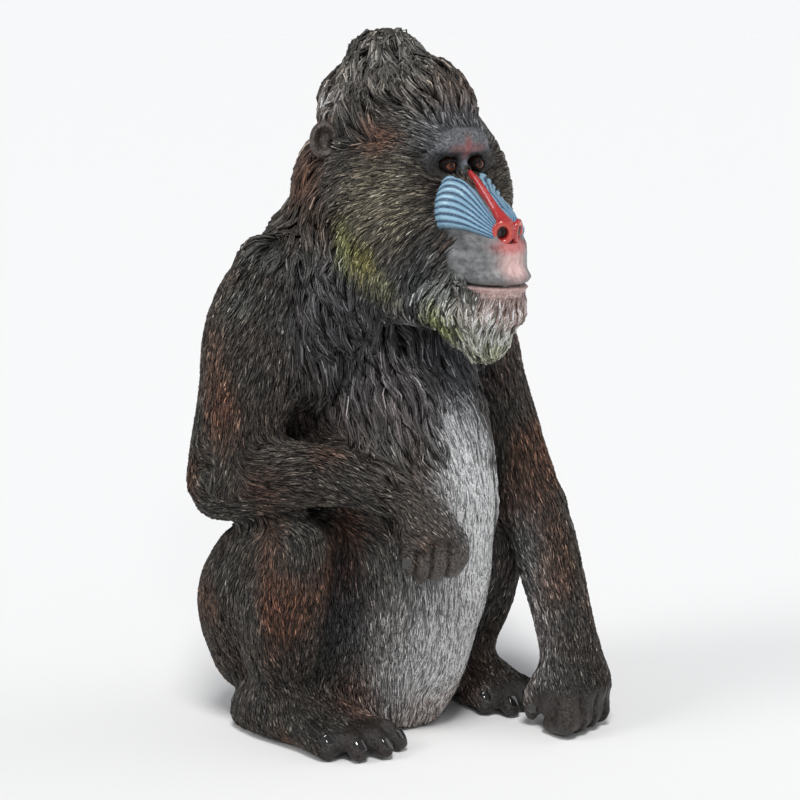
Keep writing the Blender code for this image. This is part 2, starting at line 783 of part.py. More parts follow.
def lock(skin, root, lie, length, width, rise, home):
    """A flat tapered lock on the skin: its root is sunk, its ridge follows the lie, its tip lifts clear."""
    profile = ((0.0, 0.45, -0.0010), (0.38, 1.00, 0.9 * rise), (0.76, 0.72, rise))
    place = Vector(root)
    vertices, faces = [], []
    last = 0.0
    for t, wide, high in profile:
        found, normal = skin.find_nearest(place)[:2]
        run = lie(found)
        run = (run - normal * run.dot(normal)).normalized()
        place = found + run * length * (t - last)
        last = t
        found, normal = skin.find_nearest(place)[:2]
        side = normal.cross(run).normalized() * width * 0.5 * wide
        vertices += [
            found + side - normal * LOCK_EDGE,
            found + normal * high,
            found - side - normal * LOCK_EDGE,
            found - normal * LOCK_SINK,
        ]
        place = found
    base = skin.find_nearest(Vector(root))
    vertices.append(base[0] - base[1] * LOCK_SINK)
    vertices.append(found + run * length * (1.0 - last) + normal * rise * 0.75)
    for r in range(len(profile) - 1):
        for k in range(4):
            k2 = (k + 1) % 4
            faces.append((4 * r + k, 4 * r + k2, 4 * r + 4 + k2, 4 * r + 4 + k))
    foot, tip = len(vertices) - 2, len(vertices) - 1
    top = 4 * (len(profile) - 1)
    for k in range(4):
        k2 = (k + 1) % 4
        faces.append((foot, k2, k))
        faces.append((tip, top + k, top + k2))
    return solid("lock", vertices, faces, home)


def lie_up(point):
    return CREST_TOP + Vector((0, 0.010, 0.010)) - point


def lie_down(point):
    return Vector((point.x * 0.9, 0.06, -1.0))


def lie_cheek(point):
    return Vector((math.copysign(0.10, point.x), 0.55, -0.85))


def lie_front(point):
    return Vector((-point.x * 1.2, 0.0, -1.0))


def rows_of_locks(skin, rows, lie, size, draw, home):
    """Locks in staggered rows.  A row is an axis point, its first and last angle from straight ahead, and
    how many locks it has; each root is where a ray from outside towards the axis meets the skin."""
    length, width, rise = size
    made = []
    for number, (axis, first, last, count) in enumerate(rows):
        for k in range(count):
            step = (k + 0.5 * (number % 2) + draw.uniform(-0.15, 0.15)) / max(count - 1, 1)
            turn = math.radians(first + (last - first) * step)
            out = Vector((math.sin(turn), -math.cos(turn), 0.0))
            hit = skin.ray_cast(Vector(axis) + out * 0.6, -out)[0]
            if hit is None:
                continue
            vary = draw.uniform(0.85, 1.15)
            high = rise * draw.uniform(0.8, 1.1)
            made.append(lock(skin, hit, lie, length * vary, width * vary, high, home))
    return made


def moulded_fur(skin, home):
    """The locks that the statue shows in relief: crest, nape, mantle, cheek ruffs, beard and chest."""
    draw = random.Random(11)
    crest = [((0.0, 0.055, z), turn, 360 - turn, count) for z, turn, count in (
        (0.800, 66, 7), (0.832, 30, 8), (0.862, 12, 7))]
    nape = [((0.0, 0.055, z), turn, 360 - turn, count) for z, turn, count in (
        (0.770, 116, 5), (0.722, 104, 6), (0.672, 96, 6))]
    locks = rows_of_locks(skin, crest, lie_up, (0.066, 0.040, 0.0115), draw, home)
    locks += rows_of_locks(skin, nape, lie_down, (0.086, 0.042, 0.0095), draw, home)
    for side in (1, -1):
        ruff = [((0.0, 0.0, z), side * 66, side * 98, 2) for z in (0.735, 0.685, 0.635)]
        locks += rows_of_locks(skin, ruff, lie_cheek, (0.070, 0.034, 0.0085), draw, home)
    beard = [((0.0, -0.110, z), -66, 66, 4) for z in (0.594, 0.568)]
    locks += rows_of_locks(skin, beard, lie_front, (0.038, 0.022, 0.0055), draw, home)
    chest = [((0.0, 0.080, z), -28, 28, 3) for z in (0.535, 0.475)]
    locks += rows_of_locks(skin, chest, lie_front, (0.080, 0.036, 0.0075), draw, home)
    return locks


def cheek_ridges(name, skin, side, home, margin=0.0):
    """The blue flange beside the nose: a patch on the skin whose ridges arch up and meet at the nostril."""
    high = [Vector((side * x, y, z)) for x, y, z in FLANGE_TOP]
    low = [Vector((side * x, y, z)) for x, y, z in FLANGE_BOTTOM]
    out = (high[-1] - high[0]).cross(low[0] - high[0]).normalized() * side
    rows, columns = 2 * CHEEK_RIDGES + 1, len(high)
    top, under = [], []
    for i in range(rows):
        t = i / (rows - 1)
        for j in range(columns):
            step = j / (columns - 1)
            spread = (low[j] - high[j]).normalized() * margin * (2 * t - 1)
            before, after = max(j - 1, 0), min(j + 1, columns - 1)
            run = high[after].lerp(low[after], t) - high[before].lerp(low[before], t)
            along = run.normalized() * margin * (2 * step - 1)
            point = high[j].lerp(low[j], t) + spread + along
            found = skin.ray_cast(point + out * 0.04, -out)[0]
            inner = 0 < j < columns - 1 and 0 < i < rows - 1
            rise = RIDGE_RISE * (1.0 - 0.45 * step) * (1.0 if i % 2 else 0.10) if inner else RIDGE_EDGE
            top.append(found + out * (rise + margin))
            under.append(found - out * (RIDGE_ROOT + margin))
    faces = []
    for i in range(rows - 1):
        for j in range(columns - 1):
            k = i * columns + j
            faces.append((k, k + 1, k + columns + 1, k + columns))
    count = rows * columns
    faces += [tuple(v + count for v in reversed(face)) for face in faces]
    rim = list(range(columns)) + [i * columns + columns - 1 for i in range(1, rows)]
    rim += list(range(count - 2, count - columns - 1, -1)) + [i * columns for i in range(rows - 2, 0, -1)]
    for k, here in enumerate(rim):
        there = rim[(k + 1) % len(rim)]
        faces.append((there, here, here + count, there + count))
    return solid(name, top + under, faces, home)


def nose(home, margin=0.0):
    """The red nose: a ridge from between the eyes, and two round nostril rims with their holes."""
    made = loft("nose", NOSE_RIDGE, home, sides=8, steps=2, margin=margin, caps=(45,))
    tip = [size + margin for size in (0.018, 0.015, 0.013)]
    pieces = [ball("tip", (0, -0.166, 0.688), tip, home, rings=5)]
    rim = [size + margin for size in NOSTRIL_RIM]
    holes = []
    for side in (1, -1):
        out = Vector((side * 0.42, -0.88, -0.16)).normalized()
        centre = Vector((side * NOSTRIL_CENTRE.x, NOSTRIL_CENTRE.y, NOSTRIL_CENTRE.z))
        turn = out.to_track_quat("Z", "Y").to_matrix()
        pieces.append(ball("rim", centre - out * 0.003, rim, home, 6, turn))
        holes.append(ball("hole", centre + out * 0.002, NOSTRIL_HOLE, home, 5, turn))
    union_all(made, pieces)
    for hole in holes:
        boolean(made, hole, "DIFFERENCE")
    keep_largest(made)
    return made


def ear(name, side, home):
    """A thin cup that opens forwards, rooted in the side of the hood."""
    centre = Vector((side * 0.100, 0.066, 0.790))
    out = Vector((side * 0.55, -0.82, 0.10)).normalized()
    turn = out.to_track_quat("Z", "Y").to_matrix()
    made = ball(name, centre, (0.020, 0.025, 0.012), home, 7, turn)
    boolean(made, ball("cup", centre + out * 0.012, (0.0145, 0.019, 0.014), home, 6, turn), "DIFFERENCE")
    keep_largest(made)
    return made


def eyelids(side, home):
    """The almond rim of both lids as one closed ring that hugs the eyeball."""
    centre = Vector((side * EYE_CENTRE.x, EYE_CENTRE.y, EYE_CENTRE.z))
    bars = []
    for name, up in (("upper", 1), ("lower", -1)):
        stations = []
        for step in range(5):
            turn = math.pi * step / 4
            across, rise = math.cos(turn) * EYE_RADIUS * 1.12, math.sin(turn) * EYE_RADIUS * 0.76 * up
            depth = math.sqrt(max(EYE_RADIUS ** 2 - min(across ** 2, EYE_RADIUS ** 2) - rise ** 2, 0.0))
            stations.append((centre.x + across, centre.y - depth - 0.0005, centre.z + rise, 0.0032, 0.0030))
        bars.append(loft(name, stations, home, across=Z, sides=6, steps=1, caps=(45,)))
    return bars


def limb_nodes(parts, whole, home, scrap):
    """Divides an arm or a leg across its two joints."""
    upper, middle, end = parts
    cuts = JOINTS[upper]
    low = slice_off(middle, whole, *cuts[0], home, scrap)
    tip = slice_off(end, low, *cuts[1], home, scrap)
    return {upper: whole, middle: low, end: tip}


def finish(thing, colour, roughness):
    material = bpy.data.materials.new(thing.name)
    material.use_nodes = True
    shader = material.node_tree.nodes["Principled BSDF"]
    shader.inputs["Base Color"].default_value = (*colour, 1)
    shader.inputs["Roughness"].default_value = roughness
    shader.inputs["Metallic"].default_value = 0.0
    material.diffuse_color = (*colour, 1)
    thing.data.materials.clear()
    thing.data.materials.append(material)


def face(head, home, scrap):
    """Sets eyes, nose, cheek ridges and ears into the head, and gives it its lids."""
    made = {}
    skin = skin_of(head)
    lids = []
    for letter, side in (("L", 1), ("R", -1)):
        made["cheek_ridges_" + letter] = cheek_ridges("cheek_ridges_" + letter, skin, side, home)
        made["ear_" + letter] = ear("ear_" + letter, side, home)
        centre = Vector((side * EYE_CENTRE.x, EYE_CENTRE.y, EYE_CENTRE.z))
        made["eye_" + letter] = ball("eye_" + letter, centre, (EYE_RADIUS,) * 3, home, 6)
        lids += eyelids(side, scrap)
    made["nose"] = nose(home)
    union_all(head, lids)
    for letter, side in (("L", 1), ("R", -1)):
        set_in(head, made["ear_" + letter], scrap)
        set_in(head, made["eye_" + letter], scrap)
        boolean(made["cheek_ridges_" + letter], nose(scrap, GAP), "DIFFERENCE")
        boolean(head, cheek_ridges("room", skin, side, scrap, 2 * GAP), "DIFFERENCE")
        keep_largest(made["cheek_ridges_" + letter])
    boolean(head, nose(scrap, GAP), "DIFFERENCE")
    keep_largest(head)
    return made


def settle(nodes):
    """Moves the whole statue so that its origin is under the middle of its bounding box."""
    points = [thing.matrix_world @ v.co for thing in nodes.values() for v in thing.data.vertices]
    middle = [(min(p[k] for p in points) + max(p[k] for p in points)) / 2 for k in (0, 1)]
    for thing in nodes.values():
        thing.data.transform(Matrix.Translation((-middle[0], -middle[1], 0)))
        thing.data.update()


def main():
    clear_scene()
    statue = collection("mandrill_statue")
    scrap = collection("cutters")
    forms = body_forms()
    body = fused_body(forms, statue)
    union_all(body, moulded_fur(skin_of(body), statue))
    keep_largest(body)
    boolean(body, prism("mouth_slit", MOUTH_SLIT, 0.070, scrap), "DIFFERENCE")

    nodes = {}
    for limb, parts in LIMBS:
        shapes = [form for part in parts for form in forms[part]]
        whole = take(limb, body, shapes, statue, scrap)
        nodes.update(limb_nodes(parts, whole, statue, scrap))
    for name, slits in FINGER_SLITS.items():
        for blade in finger_slits(*slits, scrap):
            boolean(nodes[name], blade, "DIFFERENCE")
        keep_largest(nodes[name])
    above_chest = slice_off("neck", body, (0, 0.10, 0.600), (0, -0.40, 0.915), statue, scrap)
    nodes["head"] = slice_off("head", above_chest, (0, 0.08, 0.642), (0, -0.55, 0.835), statue, scrap)
    nodes["neck"] = above_chest
    jaw = duplicate(nodes["head"], "jaw", statue)
    boolean(jaw, prism("jaw_side", JAW_OUTLINE, 0.30, scrap), "INTERSECT")
    boolean(nodes["head"], grown_prism(scrap), "DIFFERENCE")
    keep_largest(jaw)
    keep_largest(nodes["head"])
    nodes["jaw"] = jaw
    nodes["torso"] = slice_off("torso", body, (0, 0.05, 0.405), (0, 0.15, 1.0), statue, scrap)
    nodes["belly"] = slice_off("belly", body, (0, BELLY_BACK, 0), -Y, statue, scrap)
    nodes["rump"] = body
    body.name = "rump"
    nodes["tail"] = loft("tail", TAIL, statue, sides=10, steps=1, caps=(45,))
    set_in(nodes["rump"], nodes["tail"], scrap)
    nodes.update(face(nodes["head"], statue, scrap))
    for name, thing in nodes.items():
        thing.name = name
        flat_faces(thing)
        colour, roughness = next(value for key, value in FINISHES if name.startswith(key))
        finish(thing, colour, roughness)
    settle(nodes)
    bpy.data.collections.remove(scrap)


main()
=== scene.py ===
# %% [markdown]
# # A painted resin statue of a sitting mandrill
#
# The object is a cast statue: one hard shell whose fur is moulded in relief and painted, with glossy eyes
# and nails.  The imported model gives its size, its place and its main shapes.  This lesson dresses it.

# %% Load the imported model
import math

import bpy
import numpy as np
from mathutils import Matrix, Vector
from mathutils.bvhtree import BVHTree
from mathutils.kdtree import KDTree


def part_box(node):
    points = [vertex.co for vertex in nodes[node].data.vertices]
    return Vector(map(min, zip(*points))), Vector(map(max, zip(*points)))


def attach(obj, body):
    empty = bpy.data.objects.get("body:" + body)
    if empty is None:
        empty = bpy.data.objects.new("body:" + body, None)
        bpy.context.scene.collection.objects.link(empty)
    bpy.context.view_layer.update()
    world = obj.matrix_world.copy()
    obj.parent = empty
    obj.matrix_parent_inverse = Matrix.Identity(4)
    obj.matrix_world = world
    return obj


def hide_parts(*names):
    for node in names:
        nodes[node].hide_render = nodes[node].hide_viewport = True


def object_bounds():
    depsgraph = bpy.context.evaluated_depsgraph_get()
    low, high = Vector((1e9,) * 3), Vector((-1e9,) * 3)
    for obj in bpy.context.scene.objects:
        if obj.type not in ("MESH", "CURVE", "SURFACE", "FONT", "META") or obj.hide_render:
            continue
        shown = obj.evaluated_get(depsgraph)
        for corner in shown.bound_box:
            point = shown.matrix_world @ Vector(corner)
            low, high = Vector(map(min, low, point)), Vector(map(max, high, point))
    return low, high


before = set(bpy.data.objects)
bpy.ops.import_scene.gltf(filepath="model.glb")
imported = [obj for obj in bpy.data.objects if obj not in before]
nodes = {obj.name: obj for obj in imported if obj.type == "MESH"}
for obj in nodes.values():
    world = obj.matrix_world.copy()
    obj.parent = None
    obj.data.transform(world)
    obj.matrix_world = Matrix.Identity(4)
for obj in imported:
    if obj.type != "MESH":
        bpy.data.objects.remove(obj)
cad_low, cad_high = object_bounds()
print("nodes", len(nodes), "size in mm", [round(1000 * (b - a), 1) for a, b in zip(cad_low, cad_high)])

# %% [markdown]
# The statue was designed round the point midway between its eyes, and then moved so that its origin is
# under its middle.  The eyes' boxes say how far it moved, so every place below can be given in the
# design's own numbers and shifted by the same amount.

# %% Find where the design's origin went
def middle_of(node):
    """The middle of a node's box."""
    low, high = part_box(node)
    return (Vector(low) + Vector(high)) / 2


EYE_SIDEWAYS, EYE_FORWARD, EYE_HEIGHT = 0.0235, -0.083, 0.763
moved = (middle_of("eye_L") + middle_of("eye_R")) / 2 - Vector((0.0, EYE_FORWARD, EYE_HEIGHT))
moved.z = 0.0


def at(x, y, z):
    """A place in the design's numbers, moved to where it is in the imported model."""
    return Vector((x, y, z)) + moved


print("the design moved by", [round(1000 * v, 1) for v in moved], "mm")

# %% [markdown]
# ## Camera
# The photograph looks at the statue from its right front and from a little above.  A long lens at three
# metres keeps its proportions.

# %% Camera
FOCAL_PIXELS, PICTURE_PIXELS, SENSOR_MM = 2349.0, 800.0, 36.0
camera_data = bpy.data.cameras.new("camera")
camera_data.sensor_width = SENSOR_MM
camera_data.lens = FOCAL_PIXELS / PICTURE_PIXELS * SENSOR_MM
camera_data.clip_end = 50.0
camera = bpy.data.objects.new("camera", camera_data)
bpy.context.scene.collection.objects.link(camera)
camera.location = at(-1.958, -2.298, 0.98)
look = at(-0.030, 0.000, 0.455) - camera.location
camera.rotation_euler = look.to_track_quat("-Z", "Y").to_euler()
bpy.context.scene.camera = camera
print("camera", [round(v, 3) for v in camera.location], "lens", round(camera_data.lens, 1), "mm")

# %% [markdown]
# ## Floor and light
# A white sheet of paper runs out to where the eye can't tell it from the background.  The key lamp stands
# high on the camera's side.  A weaker lamp lights the statue's right side, a third its left, and a pale sky
# fills the shadows.  The sky is dimmer overhead, or black paint would look grey from its reflections.  A
# small weak lamp in front is there for the points of light in the eyes and on the nails.

# %% Floor and light
def deselect_all():
    """Leaves nothing selected, because an operator acts on all that is."""
    bpy.ops.object.select_all(action="DESELECT")


def principled(name):
    """A new node material, its tree and its shader."""
    material = bpy.data.materials.new(name)
    material.use_nodes = True
    return material, material.node_tree, material.node_tree.nodes["Principled BSDF"]


PAPER_SIZE = 400.0
PALE_SKY, DIM_SKY = (0.93, 0.94, 0.955, 1), (0.25, 0.26, 0.28, 1)
PALE_BELOW, DIM_ABOVE = 0.09, 0.20
deselect_all()
bpy.ops.mesh.primitive_plane_add(size=PAPER_SIZE, location=(0, 0, 0))
floor = bpy.context.object
floor.name = "floor"
paper, tree, shader = principled("studio_paper")
shader.inputs["Base Color"].default_value = (0.92, 0.915, 0.905, 1)
shader.inputs["Roughness"].default_value = 0.90
shader.inputs["Specular IOR Level"].default_value = 0.1
floor.data.materials.append(paper)

scene = bpy.context.scene
scene.view_settings.view_transform = "Standard"
scene.view_settings.look = "None"
world = bpy.data.worlds.new("studio")
scene.world = world
world.use_nodes = True
sky = world.node_tree
background = sky.nodes["Background"]
background.inputs["Strength"].default_value = 1.0
height = sky.nodes.new("ShaderNodeTexCoord")
parted = sky.nodes.new("ShaderNodeSeparateXYZ")
sky.links.new(height.outputs["Generated"], parted.inputs[0])
ramp = sky.nodes.new("ShaderNodeValToRGB")
sky.links.new(parted.outputs["Z"], ramp.inputs["Fac"])
for stop, place, colour in zip(ramp.color_ramp.elements, (PALE_BELOW, DIM_ABOVE), (PALE_SKY, DIM_SKY)):
    stop.position = place
    stop.color = colour
sky.links.new(ramp.outputs["Color"], background.inputs["Color"])


def broad_lamp(name, direction, strength, spread):
    """A lamp so far off that it lights the whole floor alike; spread is its width in degrees."""
    lamp = bpy.data.lights.new(name, "SUN")
    lamp.energy = strength
    lamp.angle = math.radians(spread)
    thing = bpy.data.objects.new(name, lamp)
    bpy.context.scene.collection.objects.link(thing)
    thing.rotation_euler = Vector(direction).to_track_quat("-Z", "Y").to_euler()


broad_lamp("key", (0.45, 0.55, -1.05), 2.05, 16)
broad_lamp("side", (0.95, -0.20, -0.70), 0.75, 24)
broad_lamp("fill", (-0.85, 0.45, -0.60), 0.40, 45)
broad_lamp("catch", (0.50, 0.82, -0.42), 0.22, 5)

# %% [markdown]
# ## The skin
# A cast statue is one shell, with no seams between its limbs.  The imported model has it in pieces.  Booleans
# could join them, but these fail easily where two faces nearly touch.  So copies of the fleshy pieces are
# grown a little, joined, and melted into one surface by a voxel remesh.

# %% Join copies of the fleshy nodes
FLESH = [
    "head", "jaw", "neck", "torso", "rump", "belly", "tail",
    "upper_arm_L", "upper_arm_R", "forearm_L", "forearm_R", "hand_L", "hand_R",
    "thigh_L", "thigh_R", "shin_L", "shin_R", "foot_L", "foot_R",
]
UNDER_FACE = ["cheek_ridges_L", "cheek_ridges_R", "nose"]
SKIN_VOXEL = 0.0040
GROWTH = 0.0006
SAME_PLACE = 0.000001


def copy_of(node):
    """A copy of a node, with a mesh of its own."""
    made = bpy.data.objects.new(node + "_copy", nodes[node].data.copy())
    bpy.context.scene.collection.objects.link(made)
    return made


def select_only(*things):
    """Selects these objects alone, the first as the active one."""
    deselect_all()
    for thing in things:
        thing.select_set(True)
    bpy.context.view_layer.objects.active = things[0]


def apply_all(thing):
    """Applies the object's modifiers, from the first to the last."""
    select_only(thing)
    for change in list(thing.modifiers):
        bpy.ops.object.modifier_apply(modifier=change.name)


copies = [copy_of(node) for node in FLESH + UNDER_FACE]
select_only(*copies)
bpy.ops.object.mode_set(mode="EDIT")
bpy.ops.mesh.select_all(action="SELECT")
bpy.ops.mesh.remove_doubles(threshold=SAME_PLACE)
bpy.ops.mesh.normals_make_consistent(inside=False)
bpy.ops.object.mode_set(mode="OBJECT")
for thing in copies:
    grow = thing.modifiers.new("grow", "DISPLACE")
    grow.mid_level = 0.0
    grow.strength = GROWTH
    apply_all(thing)
select_only(*copies)
bpy.ops.object.join()
skin = copies[0]
skin.name = "skin"
skin.data.name = "skin"
skin.data.materials.clear()
remesh = skin.modifiers.new("melt", "REMESH")
remesh.mode = "VOXEL"
remesh.voxel_size = SKIN_VOXEL
apply_all(skin)


def keep_largest(thing):
    """Removes every loose piece of the mesh but the one with the most points."""
    count = len(thing.data.vertices)
    ends = np.empty(len(thing.data.edges) * 2, int)
    thing.data.edges.foreach_get("vertices", ends)
    first, second = ends.reshape(-1, 2).T
    label = np.arange(count)
    while True:
        lowest = np.minimum(label[first], label[second])
        renewed = label.copy()
        np.minimum.at(renewed, first, lowest)
        np.minimum.at(renewed, second, lowest)
        renewed = renewed[renewed]
        if (renewed == label).all():
            break
        label = renewed
    loose = label != np.bincount(label).argmax()
    select_only(thing)
    bpy.ops.object.mode_set(mode="EDIT")
    bpy.ops.mesh.select_mode(type="VERT")
    bpy.ops.mesh.select_all(action="DESELECT")
    bpy.ops.object.mode_set(mode="OBJECT")
    thing.data.vertices.foreach_set("select", loose)
    bpy.ops.object.mode_set(mode="EDIT")
    bpy.ops.mesh.delete(type="VERT")
    bpy.ops.object.mode_set(mode="OBJECT")
    return int(loose.sum())


print("loose points removed", keep_largest(skin))
print("skin", len(skin.data.polygons), "faces")

# %% [markdown]
# The next steps move thousands of points at once, so a mesh is read and written as arrays.

# %% Helpers that read and write a mesh as arrays
def points_of(thing):
    """The points of the object's mesh, a row for each."""
    flat = np.empty(len(thing.data.vertices) * 3)
    thing.data.vertices.foreach_get("co", flat)
    return flat.reshape(-1, 3)


def normals_of(thing):
    """The directions out of the surface at its points."""
    flat = np.empty(len(thing.data.vertices) * 3)
    thing.data.vertex_normals.foreach_get("vector", flat)
    return flat.reshape(-1, 3)


def put_points(thing, points):
    """Moves the points of the object's mesh to new places."""
    thing.data.vertices.foreach_set("co", np.asarray(points, float).ravel())
    thing.data.update()


def smoothstep(low, high, value):
    """0 up to low, 1 from high on, and a soft rise between them."""
    t = np.clip((value - low) / (high - low), 0.0, 1.0)
    return t * t * (3.0 - 2.0 * t)


def unit(vectors):
    """The vectors brought to length 1."""
    return vectors / np.maximum(np.linalg.norm(vectors, axis=-1, keepdims=True), 1e-12)


def within(points, centre, reach):
    """How far out each point is in an ellipsoid: 0 at its centre and 1 at its surface."""
    return np.sqrt((((points - np.array(at(*centre))) / np.array(reach)) ** 2).sum(1))


def weigh(thing, weights):
    """The weights as a vertex group, which modifiers can be held to."""
    group = thing.vertex_groups.new(name="weights")
    for level in np.unique(np.round(weights, 2)):
        members = np.nonzero(np.round(weights, 2) == level)[0]
        group.add(members.tolist(), float(level), "REPLACE")
    return group.name


print("helpers read", len(points_of(skin)), "points")

# %% [markdown]
# The remesh keeps every facet of the solids, and modelled clay has none.  A subdivision would add faces and
# hardly round them, so the broad furred forms are smoothed hard instead.  Hands, feet and muzzle are bare
# and small, so they are smoothed little.

# %% Smooth the broad forms
BARE = [
    ((0.000, -0.150, 0.665), (0.085, 0.075, 0.085)),
    ((0.000, -0.105, 0.765), (0.062, 0.040, 0.050)),
    ((-0.066, -0.112, 0.275), (0.070, 0.070, 0.065)),
    ((0.175, -0.115, 0.040), (0.090, 0.080, 0.070)),
    ((-0.110, -0.020, 0.010), (0.100, 0.080, 0.055)),
    ((0.165, -0.010, 0.010), (0.090, 0.080, 0.055)),
]


def bareness(points):
    """1 where the skin is bare, fading to 0 where fur begins."""
    out = np.zeros(len(points))
    for centre, reach in BARE:
        out = np.maximum(out, 1.0 - smoothstep(0.65, 1.0, within(points, centre, reach)))
    return out


def soften(thing, rounds, weights):
    """Smooths the object's mesh, most where the weights are 1 and nowhere where they are 0."""
    change = thing.modifiers.new("soften", "SMOOTH")
    change.factor = 0.5
    change.iterations = rounds
    change.vertex_group = weigh(thing, weights)
    apply_all(thing)
    thing.vertex_groups.clear()


EVERYWHERE_ROUNDS, FURRED_ROUNDS = 3, 24
soften(skin, EVERYWHERE_ROUNDS, np.ones(len(skin.data.vertices)))
soften(skin, FURRED_ROUNDS, 1.0 - bareness(points_of(skin)))
print("bare share of the skin", round(float(bareness(points_of(skin)).mean()), 2))

# %% [markdown]
# The sculptor cut long shallow grooves into back and limbs, which part the short fur into bundles.  They
# follow each limb.  Dark paint alone would look flat, so they are cut into the mesh.  A smooth pattern that
# is stretched along the limb's axis gives them: where it changes sign there is a groove.

# %% Cut the long grooves
# axis from, axis to, how far from the axis it reaches, width of a bundle, depth of a groove
BUNDLES = [
    ((-0.146, 0.105, 0.606), (-0.218, 0.122, 0.352), 0.085, 0.030, 0.0030),
    ((-0.220, 0.124, 0.354), (-0.084, -0.080, 0.346), 0.070, 0.024, 0.0022),
    ((0.140, 0.100, 0.600), (0.188, 0.012, 0.335), 0.085, 0.030, 0.0028),
    ((0.188, 0.012, 0.335), (0.175, -0.106, 0.120), 0.070, 0.024, 0.0022),
    ((-0.168, 0.100, 0.270), (-0.155, 0.100, 0.060), 0.110, 0.032, 0.0030),
    ((0.168, 0.100, 0.270), (0.160, 0.100, 0.060), 0.110, 0.032, 0.0030),
    ((0.000, 0.180, 0.620), (0.010, 0.180, 0.050), 0.150, 0.040, 0.0035),
]
WAVES = 9


def soft_noise(points, scale, seed):
    """A smooth pattern between about -1 and 1, from crossed waves."""
    pick = np.random.default_rng(seed)
    out = np.zeros(len(points))
    for _ in range(WAVES):
        way = pick.normal(size=3)
        way *= pick.uniform(0.6, 1.6) / np.linalg.norm(way)
        out += np.sin(points @ way * (math.tau / scale) + pick.uniform(0, math.tau))
    return out / 4.0


def groove_depth(points):
    """How deep the long grooves are at each point."""
    depth = np.zeros(len(points))
    for number, (start, end, reach, width, deep) in enumerate(BUNDLES):
        a, b = np.array(at(*start)), np.array(at(*end))
        axis = (b - a) / np.linalg.norm(b - a)
        along = (points - a) @ axis
        away = np.linalg.norm(points - a - np.clip(along, 0, np.linalg.norm(b - a))[:, None] * axis, axis=1)
        squeezed = points - axis * (along * 0.80)[:, None]
        bundle = np.abs(soft_noise(squeezed, 2.6 * width, 40 + number))
        share = (1 - smoothstep(0.75 * reach, reach, away)) * (1 - smoothstep(0.0, 0.30, bundle))
        depth = np.maximum(depth, deep * share)
    return depth


here = points_of(skin)
depth = groove_depth(here) * (1.0 - bareness(here))
put_points(skin, here - normals_of(skin) * depth[:, None])
print("deepest groove", round(1000 * float(depth.max()), 2), "mm")

# %% [markdown]
# The face and hands need finer faces than the furred forms, which the coat will hide.  So the furred skin is
# thinned, and the face and hands are divided, twice round the mouth and on the hanging hand's fingers.

# %% Thin the furred skin, divide face and hands
FACES_KEPT = 0.42
# middle and reach of each zone whose faces are divided, in this order
FINE_ZONES = {
    "face": ((0.0, -0.125, 0.680), (0.075, 0.070, 0.125)),
    "mouth": ((0.0, -0.160, 0.619), (0.052, 0.052, 0.009)),
    "hanging hand": ((-0.062, -0.120, 0.268), (0.062, 0.042, 0.050)),
    "its fingers": ((-0.064, -0.125, 0.258), (0.058, 0.032, 0.040)),
    "fist": ((0.176, -0.140, 0.030), (0.072, 0.050, 0.040)),
}
thin = skin.modifiers.new("thin", "DECIMATE")
thin.ratio = FACES_KEPT
thin.vertex_group = weigh(skin, 1.0 - 0.98 * bareness(points_of(skin)))
thin.use_collapse_triangulate = True
apply_all(skin)
skin.vertex_groups.clear()


def divide_within(thing, centre, reach):
    """Divides the faces whose middle lies in an ellipsoid."""
    middles = np.empty(len(thing.data.polygons) * 3)
    thing.data.polygons.foreach_get("center", middles)
    inside = within(middles.reshape(-1, 3), centre, reach) < 1.0
    select_only(thing)
    bpy.ops.object.mode_set(mode="EDIT")
    bpy.ops.mesh.select_mode(type="FACE")
    bpy.ops.mesh.select_all(action="DESELECT")
    bpy.ops.object.mode_set(mode="OBJECT")
    thing.data.polygons.foreach_set("select", inside)
    bpy.ops.object.mode_set(mode="EDIT")
    bpy.ops.mesh.subdivide(number_cuts=1, smoothness=0.0)
    bpy.ops.mesh.select_all(action="SELECT")
    bpy.ops.mesh.quads_convert_to_tris()
    bpy.ops.object.mode_set(mode="OBJECT")
    return int(inside.sum())


for zone, (centre, reach) in FINE_ZONES.items():
    print("faces divided in the", zone, divide_within(skin, centre, reach))
print("skin", len(skin.data.polygons), "triangles")

# %% [markdown]
# Now the face is worked like clay.  Sculpt brushes would do it by hand, but here every dent and swelling has
# a place, a width and a height, so that it comes out the same each time.  The mouth line is pushed in, the
# lips beside it are swelled, and the chin gets upright folds.  Under the nose and the blue cheek ridges the
# skin is sunk, so that those pieces stand clear of it.

# %% Work the mouth, lips, chin and sockets
MOUTH_Z, MOUTH_FRONT, MOUTH_CORNER, CORNER_RISE = 0.6190, -0.190, -0.118, 0.0030
# how far the skin is pushed in or swelled
SLIT_DEPTH, UPPER_LIP, LOWER_LIP, UNDER_LIP = 0.0050, 0.0012, 0.0024, 0.0020
CHIN_FOLD, BROW_SWELL = 0.0016, 0.0030
FLANGE_BED, NOSE_BED, RIDGE_BED, EYE_BED = 0.0030, 0.0110, 0.0050, 0.0050


def mouth_height(y):
    """Height of the mouth line at a distance forward, in the design's numbers."""
    return MOUTH_Z + CORNER_RISE * smoothstep(MOUTH_FRONT, MOUTH_CORNER, y)


def from_segment(place, start, end):
    """Distance of each point from the line between two points."""
    start, end = np.array(start), np.array(end)
    along = np.clip((place - start) @ (end - start) / ((end - start) @ (end - start)), 0, 1)
    return np.linalg.norm(place - start - along[:, None] * (end - start), axis=1)


def bell(value, middle, width):
    """1 at the middle, fading to 0 over the width on both sides."""
    return np.exp(-((value - middle) / width) ** 2)


def oval(x, y, z, centre, reach):
    """How far out each place is in an ellipsoid that is given in the design's numbers."""
    parts = [((value - middle) / half) ** 2 for value, middle, half in zip((x, y, z), centre, reach)]
    return np.sqrt(parts[0] + parts[1] + parts[2])


